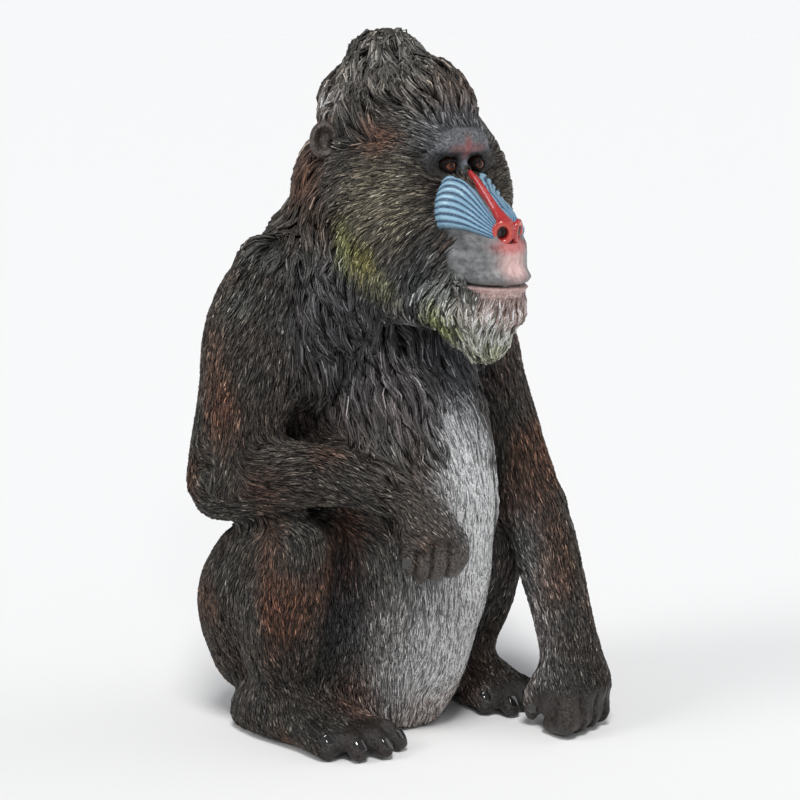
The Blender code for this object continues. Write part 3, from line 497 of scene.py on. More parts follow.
def work_face(points, normals):
    """The points after the dents and swellings of the face."""
    place = points - np.array(moved)
    x, y, z = place.T
    front = 1 - smoothstep(-0.127, -0.119, y)
    near_mouth = front * (1 - smoothstep(0.030, 0.050, np.abs(z - 0.62)))
    gap = z - mouth_height(y)
    push = -SLIT_DEPTH * bell(gap, 0.0, 0.0017) * near_mouth
    push += UPPER_LIP * bell(gap, 0.0080, 0.0045) * near_mouth
    push += LOWER_LIP * bell(gap, -0.0046, 0.0030) * near_mouth
    push -= UNDER_LIP * bell(gap, -0.0105, 0.0034) * near_mouth
    turn = np.arctan2(x, -(y + 0.105))
    fold = np.sin(turn * 27 + 1.3 * np.sin(z * 190) + 2.0 * np.sin(turn * 5))
    chin = bell(z, 0.597, 0.0085) * (1 - smoothstep(0.9, 1.3, np.abs(turn))) * front
    push += CHIN_FOLD * fold * chin
    sideways = np.abs(x)
    flange = oval(sideways, y, z, (0.034, -0.128, 0.712), (0.026, 0.045, 0.040))
    push -= FLANGE_BED * (1 - smoothstep(0.55, 1.0, flange))
    nose = oval(x, y, z, (0.0, -0.172, 0.686), (0.022, 0.024, 0.019))
    push -= NOSE_BED * (1 - smoothstep(0.60, 1.0, nose))
    ridge = from_segment(place, (0.0, -0.098, 0.752), (0.0, -0.164, 0.698))
    push -= RIDGE_BED * (1 - smoothstep(0.0070, 0.0135, ridge))
    eye = oval(sideways, y, z, (0.0235, -0.092, 0.764), (0.021, 0.022, 0.012))
    push -= EYE_BED * (1 - smoothstep(0.50, 1.0, eye))
    brow = bell(z, 0.781, 0.0055) * (1 - smoothstep(0.040, 0.055, sideways)) * (y < -0.06)
    push += BROW_SWELL * brow
    return points + normals * push[:, None]


put_points(skin, work_face(points_of(skin), normals_of(skin)))
soften(skin, 1, bareness(points_of(skin)) * 0.6)

# %% [markdown]
# The fingers lie side by side, and the melting closed the narrow gaps between them.  They are cut in again:
# across each row of knuckles, narrow bands of points are pushed in, and the knuckles beside them rise.

# %% Part the fingers
FINGER_GAP, GAP_WIDTH, KNUCKLE_SWELL = 0.0062, 0.0023, 0.0026
# middle of the row of knuckles, direction across it, places of the gaps and of the knuckles along it,
# middle and reach of the zone, height of the knuckles
HANDS = [
    (
        (-0.052, -0.118, 0.293), (0.893, -0.451, 0.0), (-0.0430, -0.0215, 0.0005),
        (-0.032, -0.010, 0.012), (-0.064, -0.122, 0.258), (0.060, 0.034, 0.040), 0.290,
    ),
    (
        (0.172, -0.130, 0.060), (0.971, 0.240, 0.0), (-0.0265, 0.0010, 0.0285),
        (-0.040, -0.013, 0.015, 0.042), (0.176, -0.140, 0.026), (0.070, 0.050, 0.036), 0.058,
    ),
]


def work_hands(points, normals):
    """The points after the gaps are cut between the fingers and the knuckles raised."""
    place = points - np.array(moved)
    push = np.zeros(len(points))
    for middle, across, gaps, knuckles, centre, reach, top in HANDS:
        along = (place - np.array(middle)) @ np.array(across)
        zone = 1 - smoothstep(0.80, 1.05, within(points, centre, reach))
        for gap in gaps:
            push -= FINGER_GAP * bell(along, gap, GAP_WIDTH) * zone
        for knuckle in knuckles:
            away = ((along - knuckle) / 0.0075) ** 2 + ((place[:, 2] - top) / 0.0085) ** 2
            near = 1 - smoothstep(1.0, 1.3, within(points, centre, reach))
            push += KNUCKLE_SWELL * np.exp(-away) * near
    return points + normals * push[:, None]


put_points(skin, work_hands(points_of(skin), normals_of(skin)))
print("gaps between the fingers", sum(len(row[2]) for row in HANDS))

# %% [markdown]
# The strands will stand on the furred skin, so it is sunk by the depth of the coat.  Bare skin stays.

# %% Sink the skin by the depth of the coat
COAT_DEPTH = 0.0030
here = points_of(skin)
put_points(skin, here - normals_of(skin) * (COAT_DEPTH * (1.0 - bareness(here)))[:, None])
select_only(skin)
bpy.ops.object.shade_smooth()
print("skin height in mm", round(1000 * float(points_of(skin)[:, 2].max()), 1))

# %% [markdown]
# ## Paint
# The painter laid a near-black coat first, then brushed lighter greys and rusty browns over the ridges
# only.  So every place has two colours: one for the grooves and one for the ridges.  Marks change both
# near a place.  A painted picture could hold them, but colours that the mesh keeps at its points need none,
# and the strands can read the same marks as the skin under them.

# %% Two colours for every place
GROOVE, RIDGE, RUST = (0.0028, 0.0025, 0.0022), (0.072, 0.060, 0.050), (0.130, 0.062, 0.038)
# middle, reach across x, y and z, groove colour, ridge colour, strength, 1 place or 2 sides
MARKS = [
    ((0.000, 0.058, 0.860), (0.095, 0.125, 0.075), (0.004, 0.004, 0.0035), (0.135, 0.132, 0.118), 0.85, 1),
    ((0.074, 0.094, 0.812), (0.022, 0.040, 0.015), (0.060, 0.058, 0.056), (0.340, 0.330, 0.315), 0.85, 2),
    ((0.000, -0.090, 0.803), (0.058, 0.040, 0.026), (0.030, 0.031, 0.034), (0.150, 0.154, 0.162), 0.95, 1),
    ((0.083, -0.036, 0.792), (0.024, 0.030, 0.018), (0.022, 0.009, 0.006), (0.150, 0.070, 0.042), 0.75, 2),
    ((0.092, -0.045, 0.715), (0.040, 0.054, 0.050), (0.006, 0.005, 0.004), (0.245, 0.215, 0.150), 0.8, 2),
    ((0.058, -0.092, 0.640), (0.020, 0.026, 0.046), (0.004, 0.004, 0.004), (0.030, 0.031, 0.030), 0.8, 2),
    ((0.121, -0.004, 0.670), (0.020, 0.024, 0.026), (0.020, 0.021, 0.005), (0.300, 0.310, 0.110), 0.9, 2),
    ((0.113, -0.030, 0.646), (0.022, 0.020, 0.024), (0.030, 0.028, 0.005), (0.440, 0.390, 0.110), 1.0, 2),
    ((0.096, -0.046, 0.616), (0.020, 0.017, 0.022), (0.026, 0.026, 0.010), (0.360, 0.350, 0.170), 0.95, 2),
    ((0.082, -0.050, 0.592), (0.016, 0.016, 0.014), (0.050, 0.045, 0.036), (0.400, 0.370, 0.300), 0.85, 2),
    ((0.048, -0.118, 0.602), (0.018, 0.034, 0.040), (0.040, 0.043, 0.038), (0.330, 0.345, 0.315), 0.95, 2),
    ((0.000, -0.155, 0.572), (0.052, 0.060, 0.036), (0.190, 0.186, 0.150), (0.800, 0.800, 0.700), 1.0, 1),
    ((0.000, -0.168, 0.598), (0.044, 0.044, 0.0105), (0.360, 0.220, 0.200), (0.820, 0.650, 0.610), 0.95, 1),
    ((0.000, -0.150, 0.545), (0.040, 0.040, 0.014), (0.050, 0.060, 0.024), (0.430, 0.460, 0.250), 0.75, 1),
    ((0.050, -0.100, 0.575), (0.014, 0.030, 0.026), (0.030, 0.040, 0.008), (0.330, 0.370, 0.090), 0.9, 2),
    ((0.000, 0.000, 0.560), (0.150, 0.120, 0.120), (0.0025, 0.0025, 0.003), (0.088, 0.092, 0.101), 0.85, 1),
    # painted shade: darker fur in front of each shoulder, where the upper arm meets the chest
    ((0.135, 0.015, 0.605), (0.045, 0.050, 0.060), (0.002, 0.002, 0.002), (0.046, 0.048, 0.053), 0.7, 2),
    ((-0.070, -0.105, 0.335), (0.050, 0.045, 0.040), (0.006, 0.005, 0.004), (0.150, 0.128, 0.110), 0.8, 1),
    # dark fur and painted shade between each thigh and the belly
    ((0.112, 0.020, 0.190), (0.034, 0.050, 0.100), (0.0015, 0.0015, 0.0015), (0.015, 0.016, 0.018), 0.85, 2),
    # the white belly lies toward the statue's left, so its right side by the thigh stays dark as painted
    # shade
    ((0.018, -0.070, 0.410), (0.036, 0.070, 0.066), (0.230, 0.233, 0.240), (0.820, 0.830, 0.850), 0.95, 1),
    ((0.040, -0.080, 0.300), (0.074, 0.085, 0.120), (0.280, 0.283, 0.290), (0.970, 0.970, 0.970), 1.0, 1),
    ((0.030, -0.050, 0.130), (0.090, 0.085, 0.120), (0.270, 0.270, 0.272), (0.850, 0.840, 0.830), 1.0, 1),
    ((0.034, -0.030, 0.040), (0.070, 0.060, 0.040), (0.150, 0.110, 0.098), (0.560, 0.450, 0.410), 0.7, 1),
]
# The same for bare skin
SKIN_MARKS = [
    ((0.000, -0.140, 0.655), (0.078, 0.085, 0.060), (0.066, 0.068, 0.070), (0.250, 0.255, 0.260), 1.0, 1),
    ((0.050, -0.110, 0.684), (0.030, 0.034, 0.016), (0.014, 0.014, 0.016), (0.085, 0.088, 0.096), 0.8, 2),
    ((0.052, -0.098, 0.640), (0.016, 0.024, 0.036), (0.014, 0.014, 0.014), (0.090, 0.092, 0.092), 0.7, 2),
    ((0.000, -0.090, 0.792), (0.064, 0.045, 0.026), (0.036, 0.037, 0.041), (0.200, 0.204, 0.218), 1.0, 1),
    # dark paint round the eyes, and painted shade under the brow: the sockets nearly black
    ((0.0265, -0.092, 0.7660), (0.028, 0.028, 0.0150), (0.002, 0.002, 0.002), (0.009, 0.008, 0.008), 1.0, 2),
    ((0.000, -0.104, 0.764), (0.0075, 0.020, 0.012), (0.060, 0.070, 0.090), (0.240, 0.280, 0.340), 0.9, 1),
    ((0.000, -0.108, 0.784), (0.0062, 0.024, 0.014), (0.160, 0.034, 0.033), (0.400, 0.125, 0.120), 0.85, 1),
    ((0.014, -0.104, 0.784), (0.014, 0.020, 0.005), (0.110, 0.036, 0.036), (0.300, 0.120, 0.125), 0.6, 2),
    ((0.000, -0.188, 0.648), (0.020, 0.023, 0.021), (0.500, 0.300, 0.280), (0.740, 0.540, 0.510), 1.0, 1),
    ((0.000, -0.182, 0.668), (0.024, 0.024, 0.009), (0.420, 0.080, 0.080), (0.600, 0.180, 0.170), 0.8, 1),
    ((0.000, -0.160, 0.6130), (0.050, 0.046, 0.0065), (0.380, 0.210, 0.190), (0.720, 0.500, 0.465), 1.0, 1),
    ((0.000, -0.168, 0.600), (0.046, 0.036, 0.011), (0.240, 0.130, 0.115), (0.780, 0.600, 0.560), 0.95, 1),
    ((-0.066, -0.115, 0.290), (0.070, 0.060, 0.065), (0.011, 0.009, 0.008), (0.125, 0.104, 0.090), 1.0, 1),
    ((0.176, -0.115, 0.060), (0.085, 0.070, 0.080), (0.005, 0.0045, 0.004), (0.050, 0.040, 0.034), 1.0, 1),
    ((-0.115, -0.010, 0.015), (0.090, 0.090, 0.060), (0.004, 0.0035, 0.003), (0.040, 0.034, 0.030), 1.0, 1),
    ((0.162, 0.000, 0.015), (0.090, 0.085, 0.060), (0.004, 0.0035, 0.003), (0.034, 0.029, 0.026), 1.0, 1),
]


def paint_at(points, marks):
    """The groove colour and the ridge colour at each point."""
    groove = np.tile(np.array(GROOVE), (len(points), 1))
    ridge = np.tile(np.array(RIDGE), (len(points), 1))
    rust = (0.9 * np.clip(soft_noise(points, 0.13, 3) - 0.15, 0, 1))[:, None]
    ridge = ridge * (1 - rust) + np.array(RUST) * rust
    cool = (0.16 * soft_noise(points, 0.10, 8))[:, None]
    ridge = ridge * (1 + cool * np.array((-0.6, 0.3, 0.5)))
    for (x, y, z), reach, low, high, strength, sides in marks:
        for side in (1, -1)[:sides]:
            share = (strength * np.exp(-0.7 * within(points, (side * x, y, z), reach) ** 3.2))[:, None]
            groove = groove * (1 - share) + np.array(low) * share
            ridge = ridge * (1 - share) + np.array(high) * share
    return groove, ridge


def store_colour(thing, name, colours):
    """Keeps one colour for each point of the mesh, which a material can read by its name."""
    kept = thing.data.color_attributes.new(name, "FLOAT_COLOR", "POINT")
    full = np.ones((len(colours), 4))
    full[:, :3] = colours
    kept.data.foreach_set("color", full.ravel())


def paint_shade_in_mouth_slit(points, colours, dark):
    """Paints shade into the mouth slit: the line itself nearly black."""
    place = points - np.array(moved)
    line = bell(place[:, 2], mouth_height(place[:, 1]), 0.0014) * (place[:, 1] < -0.119)
    return colours * (1 - line[:, None]) + np.array(dark) * line[:, None]


skin_groove, skin_ridge = paint_at(points_of(skin), MARKS + SKIN_MARKS)
# painted shade: the mouth slit is nearly black in both colours
store_colour(skin, "groove", paint_shade_in_mouth_slit(points_of(skin), skin_groove, (0.006, 0.003, 0.003)))
store_colour(skin, "ridge", paint_shade_in_mouth_slit(points_of(skin), skin_ridge, (0.012, 0.005, 0.005)))
on_face = 1.0 - smoothstep(0.80, 1.05, within(points_of(skin), (0.0, -0.140, 0.700), (0.085, 0.090, 0.115)))
calm = on_face * bareness(points_of(skin))
store_colour(skin, "calm", np.repeat(calm[:, None], 3, 1))
print("skin painted with", len(MARKS) + len(SKIN_MARKS), "marks")

# %% [markdown]
# The skin's material brushes the ridge colour over the groove colour by a fine noise, and the same noise
# is its relief, so the light paint always sits on what stands up.  The bare face is smooth: there the noise
# gives way to soft long brush strokes and hardly any relief.

# %% Skin material
def colour_of(tree, name):
    """A socket with the colour that the mesh keeps under a name."""
    node = tree.nodes.new("ShaderNodeVertexColor")
    node.layer_name = name
    return node.outputs["Color"]


def noise_at(tree, scale, detail, rough, stretch=(1, 1, 1)):
    """A noise on the object's own coordinates."""
    where = tree.nodes.new("ShaderNodeTexCoord")
    turn = tree.nodes.new("ShaderNodeMapping")
    turn.inputs["Scale"].default_value = stretch
    tree.links.new(where.outputs["Object"], turn.inputs["Vector"])
    noise = tree.nodes.new("ShaderNodeTexNoise")
    noise.inputs["Scale"].default_value = scale
    noise.inputs["Detail"].default_value = detail
    noise.inputs["Roughness"].default_value = rough
    tree.links.new(turn.outputs["Vector"], noise.inputs["Vector"])
    return noise.outputs["Fac"]


def spread_out(tree, value, low, high, to_low=0.0, to_high=1.0):
    """Stretches a range of a value to another range, and holds it there."""
    change = tree.nodes.new("ShaderNodeMapRange")
    change.inputs["From Min"].default_value = low
    change.inputs["From Max"].default_value = high
    change.inputs["To Min"].default_value = to_low
    change.inputs["To Max"].default_value = to_high
    tree.links.new(value, change.inputs["Value"])
    return change.outputs["Result"]


def blend_colours(tree, share, first, second):
    """Mixes two colours, each a socket or a fixed colour."""
    mix = tree.nodes.new("ShaderNodeMix")
    mix.data_type = "RGBA"
    for socket, value in ((mix.inputs[0], share), (mix.inputs[6], first), (mix.inputs[7], second)):
        if isinstance(value, bpy.types.NodeSocket):
            tree.links.new(value, socket)
        else:
            socket.default_value = value
    return mix.outputs[2]


def blend_values(tree, share, first, second):
    """Mixes two value sockets: a share of 0 gives the first and 1 the second."""
    mix = tree.nodes.new("ShaderNodeMix")
    for socket, value in ((mix.inputs[0], share), (mix.inputs[2], first), (mix.inputs[3], second)):
        tree.links.new(value, socket)
    return mix.outputs[0]


def raise_by(tree, shader, value, distance, strength):
    """Makes a value the fine relief of a material."""
    bump = tree.nodes.new("ShaderNodeBump")
    bump.inputs["Distance"].default_value = distance
    bump.inputs["Strength"].default_value = strength
    tree.links.new(value, bump.inputs["Height"])
    tree.links.new(bump.outputs["Normal"], shader.inputs["Normal"])


SATIN = 0.30
skin_paint, tree, shader = principled("painted_skin")
fleck = noise_at(tree, 330.0, 5.0, 0.62)
strokes = noise_at(tree, 130.0, 3.0, 0.55, (1.5, 0.45, 1.0))
calm_here = colour_of(tree, "calm")
flecked, stroked = spread_out(tree, fleck, 0.38, 0.66), spread_out(tree, strokes, 0.25, 0.70)
brushed = blend_values(tree, calm_here, flecked, stroked)
brushed_paint = blend_colours(tree, brushed, colour_of(tree, "groove"), colour_of(tree, "ridge"))
tree.links.new(brushed_paint, shader.inputs["Base Color"])
tree.links.new(spread_out(tree, fleck, 0.3, 0.7, 0.34, 0.52), shader.inputs["Roughness"])
shader.inputs["Specular IOR Level"].default_value = SATIN
faint = spread_out(tree, fleck, 0.0, 1.0, 0.42, 0.58)
raise_by(tree, shader, blend_values(tree, calm_here, fleck, faint), 0.0022, 0.8)
skin.data.materials.append(skin_paint)
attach(skin, "root")
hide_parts(*FLESH)

# %% [markdown]
# ## Eyes
# The glass-like eyes are balls of amber brown with a round dark pupil.  The pattern is painted on a map of
# the ball seen along its gaze, so it stays with the ball from every side.

# %% Eyes
EYE_RADIUS, CORNEA_RISE = 0.0115, 0.0011
GAZE = Vector((-0.16, -1.0, 0.02)).normalized()
# distance from the middle of the map, colour there: pupil, three browns, dark edge
IRIS = [
    (0.120, (0.002, 0.001, 0.001, 1)),
    (0.145, (0.070, 0.018, 0.008, 1)),
    (0.265, (0.160, 0.040, 0.014, 1)),
    (0.345, (0.062, 0.016, 0.007, 1)),
    (0.375, (0.005, 0.003, 0.002, 1)),
]


def facing(direction):
    """A turn that takes +Z to a direction, keeping +Y as near to up as it can."""
    ahead = Vector(direction).normalized()
    across = Vector((0, 0, 1)).cross(ahead).normalized()
    return Matrix((across, ahead.cross(across), ahead)).transposed()


def settle(thing):
    """Puts the object's place, turn and size into its mesh."""
    select_only(thing)
    bpy.ops.object.transform_apply(location=True, rotation=True, scale=True)


eye_paint, tree, shader = principled("amber_eye")
where = tree.nodes.new("ShaderNodeUVMap")
where.uv_map = "iris_map"
centred = tree.nodes.new("ShaderNodeVectorMath")
centred.operation = "DISTANCE"
centred.inputs[1].default_value = (0.5, 0.5, 0.0)
tree.links.new(where.outputs["UV"], centred.inputs[0])
rings = tree.nodes.new("ShaderNodeValToRGB")
rings.color_ramp.elements[0].position = 0.0
rings.color_ramp.elements[0].color = (0.002, 0.001, 0.001, 1)
rings.color_ramp.elements[1].position = 0.46
rings.color_ramp.elements[1].color = (0.005, 0.003, 0.003, 1)
for place, colour in IRIS:
    rings.color_ramp.elements.new(place).color = colour
tree.links.new(centred.outputs["Value"], rings.inputs["Fac"])
streaks = noise_at(tree, 700.0, 2.0, 0.5)
streaked = spread_out(tree, streaks, 0.35, 0.7, 0.0, 0.35)
streaked_paint = blend_colours(tree, streaked, rings.outputs["Color"], (0.05, 0.015, 0.005, 1))
tree.links.new(streaked_paint, shader.inputs["Base Color"])
shader.inputs["Roughness"].default_value = 0.16
shader.inputs["Specular IOR Level"].default_value = 0.12
shader.inputs["Coat Weight"].default_value = 0.35
shader.inputs["Coat Roughness"].default_value = 0.05

turned = facing(GAZE)
for letter, side in (("L", 1), ("R", -1)):
    deselect_all()
    centre = at(side * EYE_SIDEWAYS, EYE_FORWARD, EYE_HEIGHT)
    bpy.ops.mesh.primitive_uv_sphere_add(segments=48, ring_count=32, radius=EYE_RADIUS, location=(0, 0, 0))
    eye = bpy.context.object
    eye.name = "eyeball_" + letter
    local = points_of(eye)
    out = np.clip(local[:, 2] / EYE_RADIUS, 0, 1)
    local[:, 2] += CORNEA_RISE * smoothstep(0.72, 1.0, out)
    flat = local[:, :2] / (2 * EYE_RADIUS) + 0.5
    put_points(eye, local @ np.array(turned).T + np.array(centre))
    bpy.ops.object.shade_smooth()
    iris_map = eye.data.uv_layers[0]
    iris_map.name = "iris_map"
    corner_of = np.empty(len(eye.data.loops), int)
    eye.data.loops.foreach_get("vertex_index", corner_of)
    iris_map.data.foreach_set("uv", flat[corner_of].ravel())
    eye.data.materials.append(eye_paint)
    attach(eye, "root")
    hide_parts("eye_" + letter)
print("eyes", round(2000 * EYE_RADIUS, 1), "mm across")

# %% [markdown]
# ## Eyelids
# Each eye is held by a rim of two fleshy lids.  A ring is squashed to an almond, and every point that
# would be inside the ball is pushed out to just in front of it.

# %% Eyelids
LID_RING, LID_ROUND = 0.0104, 0.0029
ALMOND, CORNER_TAPER, LIDS_DOWN, CORNERS_BACK, UPPER_LID_OUT = 0.68, 0.35, 0.0007, 0.0022, 0.0016
lid_paint, tree, shader = principled("dark_lid")
wrinkle = noise_at(tree, 900.0, 3.0, 0.6)
wrinkled = spread_out(tree, wrinkle, 0.4, 0.7)
wrinkled_paint = blend_colours(tree, wrinkled, (0.002, 0.0015, 0.0015, 1), (0.011, 0.008, 0.007, 1))
tree.links.new(wrinkled_paint, shader.inputs["Base Color"])
shader.inputs["Roughness"].default_value = 0.50
shader.inputs["Specular IOR Level"].default_value = 0.12
raise_by(tree, shader, wrinkle, 0.0006, 0.6)
for letter, side in (("L", 1), ("R", -1)):
    deselect_all()
    bpy.ops.mesh.primitive_torus_add(
        major_segments=56, minor_segments=14, location=(0, 0, 0),
        major_radius=LID_RING, minor_radius=LID_ROUND,
    )
    lids = bpy.context.object
    lids.name = "eyelids_" + letter
    local = points_of(lids)
    local[:, 1] *= ALMOND
    local[:, 1] -= LIDS_DOWN
    corner = np.abs(local[:, 0]) / 0.0130
    local[:, 1] *= 1.0 - CORNER_TAPER * corner ** 3
    outwards = np.hypot(local[:, 0], local[:, 1])
    ball = np.sqrt(np.maximum(EYE_RADIUS ** 2 - outwards ** 2, 0.0))
    back = CORNERS_BACK * smoothstep(0.008, 0.014, np.abs(local[:, 0]))
    local[:, 2] = local[:, 2] * 0.8 + ball + 0.0002 - back
    local[:, 2] += UPPER_LID_OUT * np.clip(local[:, 1] / 0.008, 0, 1)
    centre = at(side * EYE_SIDEWAYS, EYE_FORWARD, EYE_HEIGHT)
    put_points(lids, local @ np.array(facing((side * 0.10, -1.0, 0.0))).T + np.array(centre))
    bpy.ops.object.shade_smooth()
    lids.data.materials.append(lid_paint)
    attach(lids, "root")
print("lids on both eyes")

# %% [markdown]
# ## Nose
# A red ridge runs down from between the eyes and swells into two thick round nostril rims.  A ring of
# points is extruded down the ridge, the rims are rings laid beside each other, and a fine remesh melts
# all of it together as one would blend clay.

# %% Model the nose
TUBE_SIDES = 20
# middle of the ring, half its width, half its depth
RIDGE_PATH = [
    ((0.000, -0.098, 0.7540), 0.0028, 0.0048),
    ((0.000, -0.109, 0.7455), 0.0038, 0.0064),
    ((0.000, -0.121, 0.7345), 0.0047, 0.0074),
    ((0.000, -0.134, 0.7215), 0.0055, 0.0080),
    ((0.000, -0.147, 0.7090), 0.0066, 0.0086),
    ((0.000, -0.158, 0.6990), 0.0098, 0.0098),
    ((0.000, -0.166, 0.6900), 0.0145, 0.0120),
]


def tube_by_extrusion(name, path):
    """A ring of points extruded from station to station, closed at both ends."""
    deselect_all()
    (start, wide, deep), rest = path[0], path[1:]
    ahead = (Vector(rest[0][0]) - Vector(start)).normalized()
    across = Vector((1, 0, 0))
    front = ahead.cross(across).normalized()
    bpy.ops.mesh.primitive_circle_add(vertices=TUBE_SIDES, radius=1.0, fill_type="NGON", location=(0, 0, 0))
    made = bpy.context.object
    made.name = name
    ring = points_of(made)
    rows = [(at(*place), w, d) for place, w, d in path]
    flat = np.array([at(*start) + across * wide * p[0] + front * deep * p[1] for p in ring])
    put_points(made, flat)
    for (before, w0, d0), (place, w, d) in zip(rows, rows[1:]):
        bpy.ops.object.mode_set(mode="EDIT")
        bpy.ops.mesh.select_mode(type="FACE")
        if before == rows[0][0]:
            bpy.ops.mesh.select_all(action="SELECT")
        bpy.ops.mesh.extrude_region_move(TRANSFORM_OT_translate={"value": tuple(place - before)})
        bpy.ops.transform.resize(value=(w / w0, d / d0, d / d0), center_override=tuple(place))
        bpy.ops.object.mode_set(mode="OBJECT")
    bpy.ops.object.mode_set(mode="EDIT")
    bpy.ops.mesh.select_all(action="SELECT")
    bpy.ops.mesh.normals_make_consistent(inside=False)
    bpy.ops.object.mode_set(mode="OBJECT")
    return made


nose = tube_by_extrusion("nose_red", RIDGE_PATH)
parts = [nose]
RIM_RING, RIM_ROUND, TALL = 0.0104, 0.0039, 1.16
BOWL_HALF, BOWL_BACK = (0.0112, 0.0130, 0.0070), 0.0095
BRIDGE_HALF, BRIDGE_PLACE = (0.0120, 0.0125, 0.0125), (0, -0.1665, 0.6900)
NOSE_VOXEL = 0.0009


def nostril_frame(side):
    """The middle of the nostril on one side, and the turn that takes +Z to the way it opens."""
    return np.array(at(side * 0.0124, -0.1750, 0.6845)), np.array(facing((side * 0.50, -0.86, -0.10)))


for side in (1, -1):
    centre, turn = nostril_frame(side)
    deselect_all()
    bpy.ops.mesh.primitive_torus_add(
        major_segments=48, minor_segments=16, location=(0, 0, 0),
        major_radius=RIM_RING, minor_radius=RIM_ROUND,
    )
    rim = bpy.context.object
    local = points_of(rim)
    local[:, 1] *= TALL
    local[:, 2] *= 0.95
    put_points(rim, local @ turn.T + centre)
    parts.append(rim)
    deselect_all()
    bpy.ops.mesh.primitive_uv_sphere_add(segments=32, ring_count=16, radius=1.0, location=(0, 0, 0))
    bowl = bpy.context.object
    local = points_of(bowl) * np.array(BOWL_HALF) - np.array((0, 0, BOWL_BACK))
    put_points(bowl, local @ turn.T + centre)
    parts.append(bowl)
deselect_all()
bpy.ops.mesh.primitive_uv_sphere_add(segments=32, ring_count=16, radius=1.0, location=(0, 0, 0))
bridge = bpy.context.object
put_points(bridge, points_of(bridge) * np.array(BRIDGE_HALF) + np.array(at(*BRIDGE_PLACE)))
parts.append(bridge)
select_only(*parts)
bpy.ops.object.join()
melt = nose.modifiers.new("melt", "REMESH")
melt.mode = "VOXEL"
melt.voxel_size = NOSE_VOXEL
blend = nose.modifiers.new("blend", "SMOOTH")
blend.factor = 0.5
blend.iterations = 4
apply_all(nose)
print("nose", len(nose.data.polygons), "faces")

# %% [markdown]
# The nostrils are pressed in: points near the middle of each rim move back along the way it opens.

# %% Open the nostrils
HOLE_DEPTH, HOLE_REACH = 0.0120, 0.0070
local = points_of(nose)
for side in (1, -1):
    centre, turn = nostril_frame(side)
    place = (local - centre) @ turn
    ring = np.hypot(place[:, 0], place[:, 1] / TALL)
    deep = (1 - smoothstep(0.78 * HOLE_REACH, HOLE_REACH, ring)) * (place[:, 2] > -0.009)
    place[:, 2] -= HOLE_DEPTH * deep
    local = place @ turn.T + centre
put_points(nose, local)
print("nostrils", round(2000 * HOLE_REACH), "mm wide")

# %% [markdown]
# The nose is glossy red with darker bands.  Each rim's crest carries a painted orange highlight, and painted
# shade makes its hole nearly black.

# %% Paint the nose
local = points_of(nose)
red, deep_red = np.array((0.420, 0.026, 0.026)), np.array((0.200, 0.010, 0.012))
# painted highlight: the orange laid on the crest of each nostril rim
orange_highlight = np.array((0.600, 0.085, 0.040))
colours = np.tile(red, (len(local), 1))
bands = np.clip(soft_noise(local, 0.012, 9), 0, 1)[:, None]
colours = colours * (1 - 0.35 * bands) + deep_red * 0.35 * bands
for side in (1, -1):
    centre, turn = nostril_frame(side)
    place = (local - centre) @ turn
    ring = np.hypot(place[:, 0], place[:, 1] / TALL)
    # painted highlight: orange on each rim's outward crest
    crest = bell(ring, 0.0098, 0.0024) * smoothstep(-0.001, 0.003, place[:, 2])
    colours = colours * (1 - 0.55 * crest[:, None]) + orange_highlight * 0.55 * crest[:, None]
    # painted shade: the deep part of each nostril is painted nearly black
    hole_shade = (1 - smoothstep(0.0054, HOLE_REACH, ring)) * (1 - smoothstep(-0.0080, -0.0010, place[:, 2]))
    colours = colours * (1 - hole_shade[:, None]) + np.array((0.006, 0.002, 0.002)) * hole_shade[:, None]
store_colour(nose, "paint", colours)
nose_paint, tree, shader = principled("glossy_red")
pores = noise_at(tree, 650.0, 3.0, 0.55)
pored = spread_out(tree, pores, 0.40, 0.70, 0.0, 0.25)
pored_paint = blend_colours(tree, pored, colour_of(tree, "paint"), (0.16, 0.01, 0.01, 1))
tree.links.new(pored_paint, shader.inputs["Base Color"])
shader.inputs["Roughness"].default_value = 0.20
shader.inputs["Coat Weight"].default_value = 0.5
shader.inputs["Coat Roughness"].default_value = 0.10
raise_by(tree, shader, pores, 0.0005, 0.5)
nose.data.materials.clear()
nose.data.materials.append(nose_paint)
select_only(nose)
bpy.ops.object.shade_smooth()
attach(nose, "root")
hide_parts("nose")
print("nose painted")

# %% [markdown]
# ## Blue cheek ridges
# On each side of the nose lies a swollen blue flange with eight ridges.  They start at its rear edge, arch
# up along the eye and the red ridge, and run together at the wing of the nostril.  Two curves bound it.
# A grid is spread between them: each point is found by looking for the skin along one direction, and is
# raised by the ridge pattern.

# %% Blue cheek ridges
RIDGES = 8
ROWS, COLUMNS = 113, 61
UPPER_EDGE = [
    (0.0370, -0.0870, 0.7440), (0.0290, -0.0890, 0.7510), (0.0180, -0.0930, 0.7525),
    (0.0090, -0.1030, 0.7485), (0.0066, -0.1160, 0.7370), (0.0074, -0.1310, 0.7240),
    (0.0085, -0.1470, 0.7100), (0.0100, -0.1620, 0.6970),
]
LOWER_EDGE = [
    (0.0545, -0.0990, 0.6860), (0.0530, -0.1130, 0.6860), (0.0490, -0.1280, 0.6870),
    (0.0420, -0.1430, 0.6860), (0.0345, -0.1570, 0.6810), (0.0225, -0.1725, 0.6760),
]
REAR_BULGE = 0.0040
face_tree = BVHTree.FromPolygons(points_of(skin).tolist(), [tuple(p.vertices) for p in skin.data.polygons])


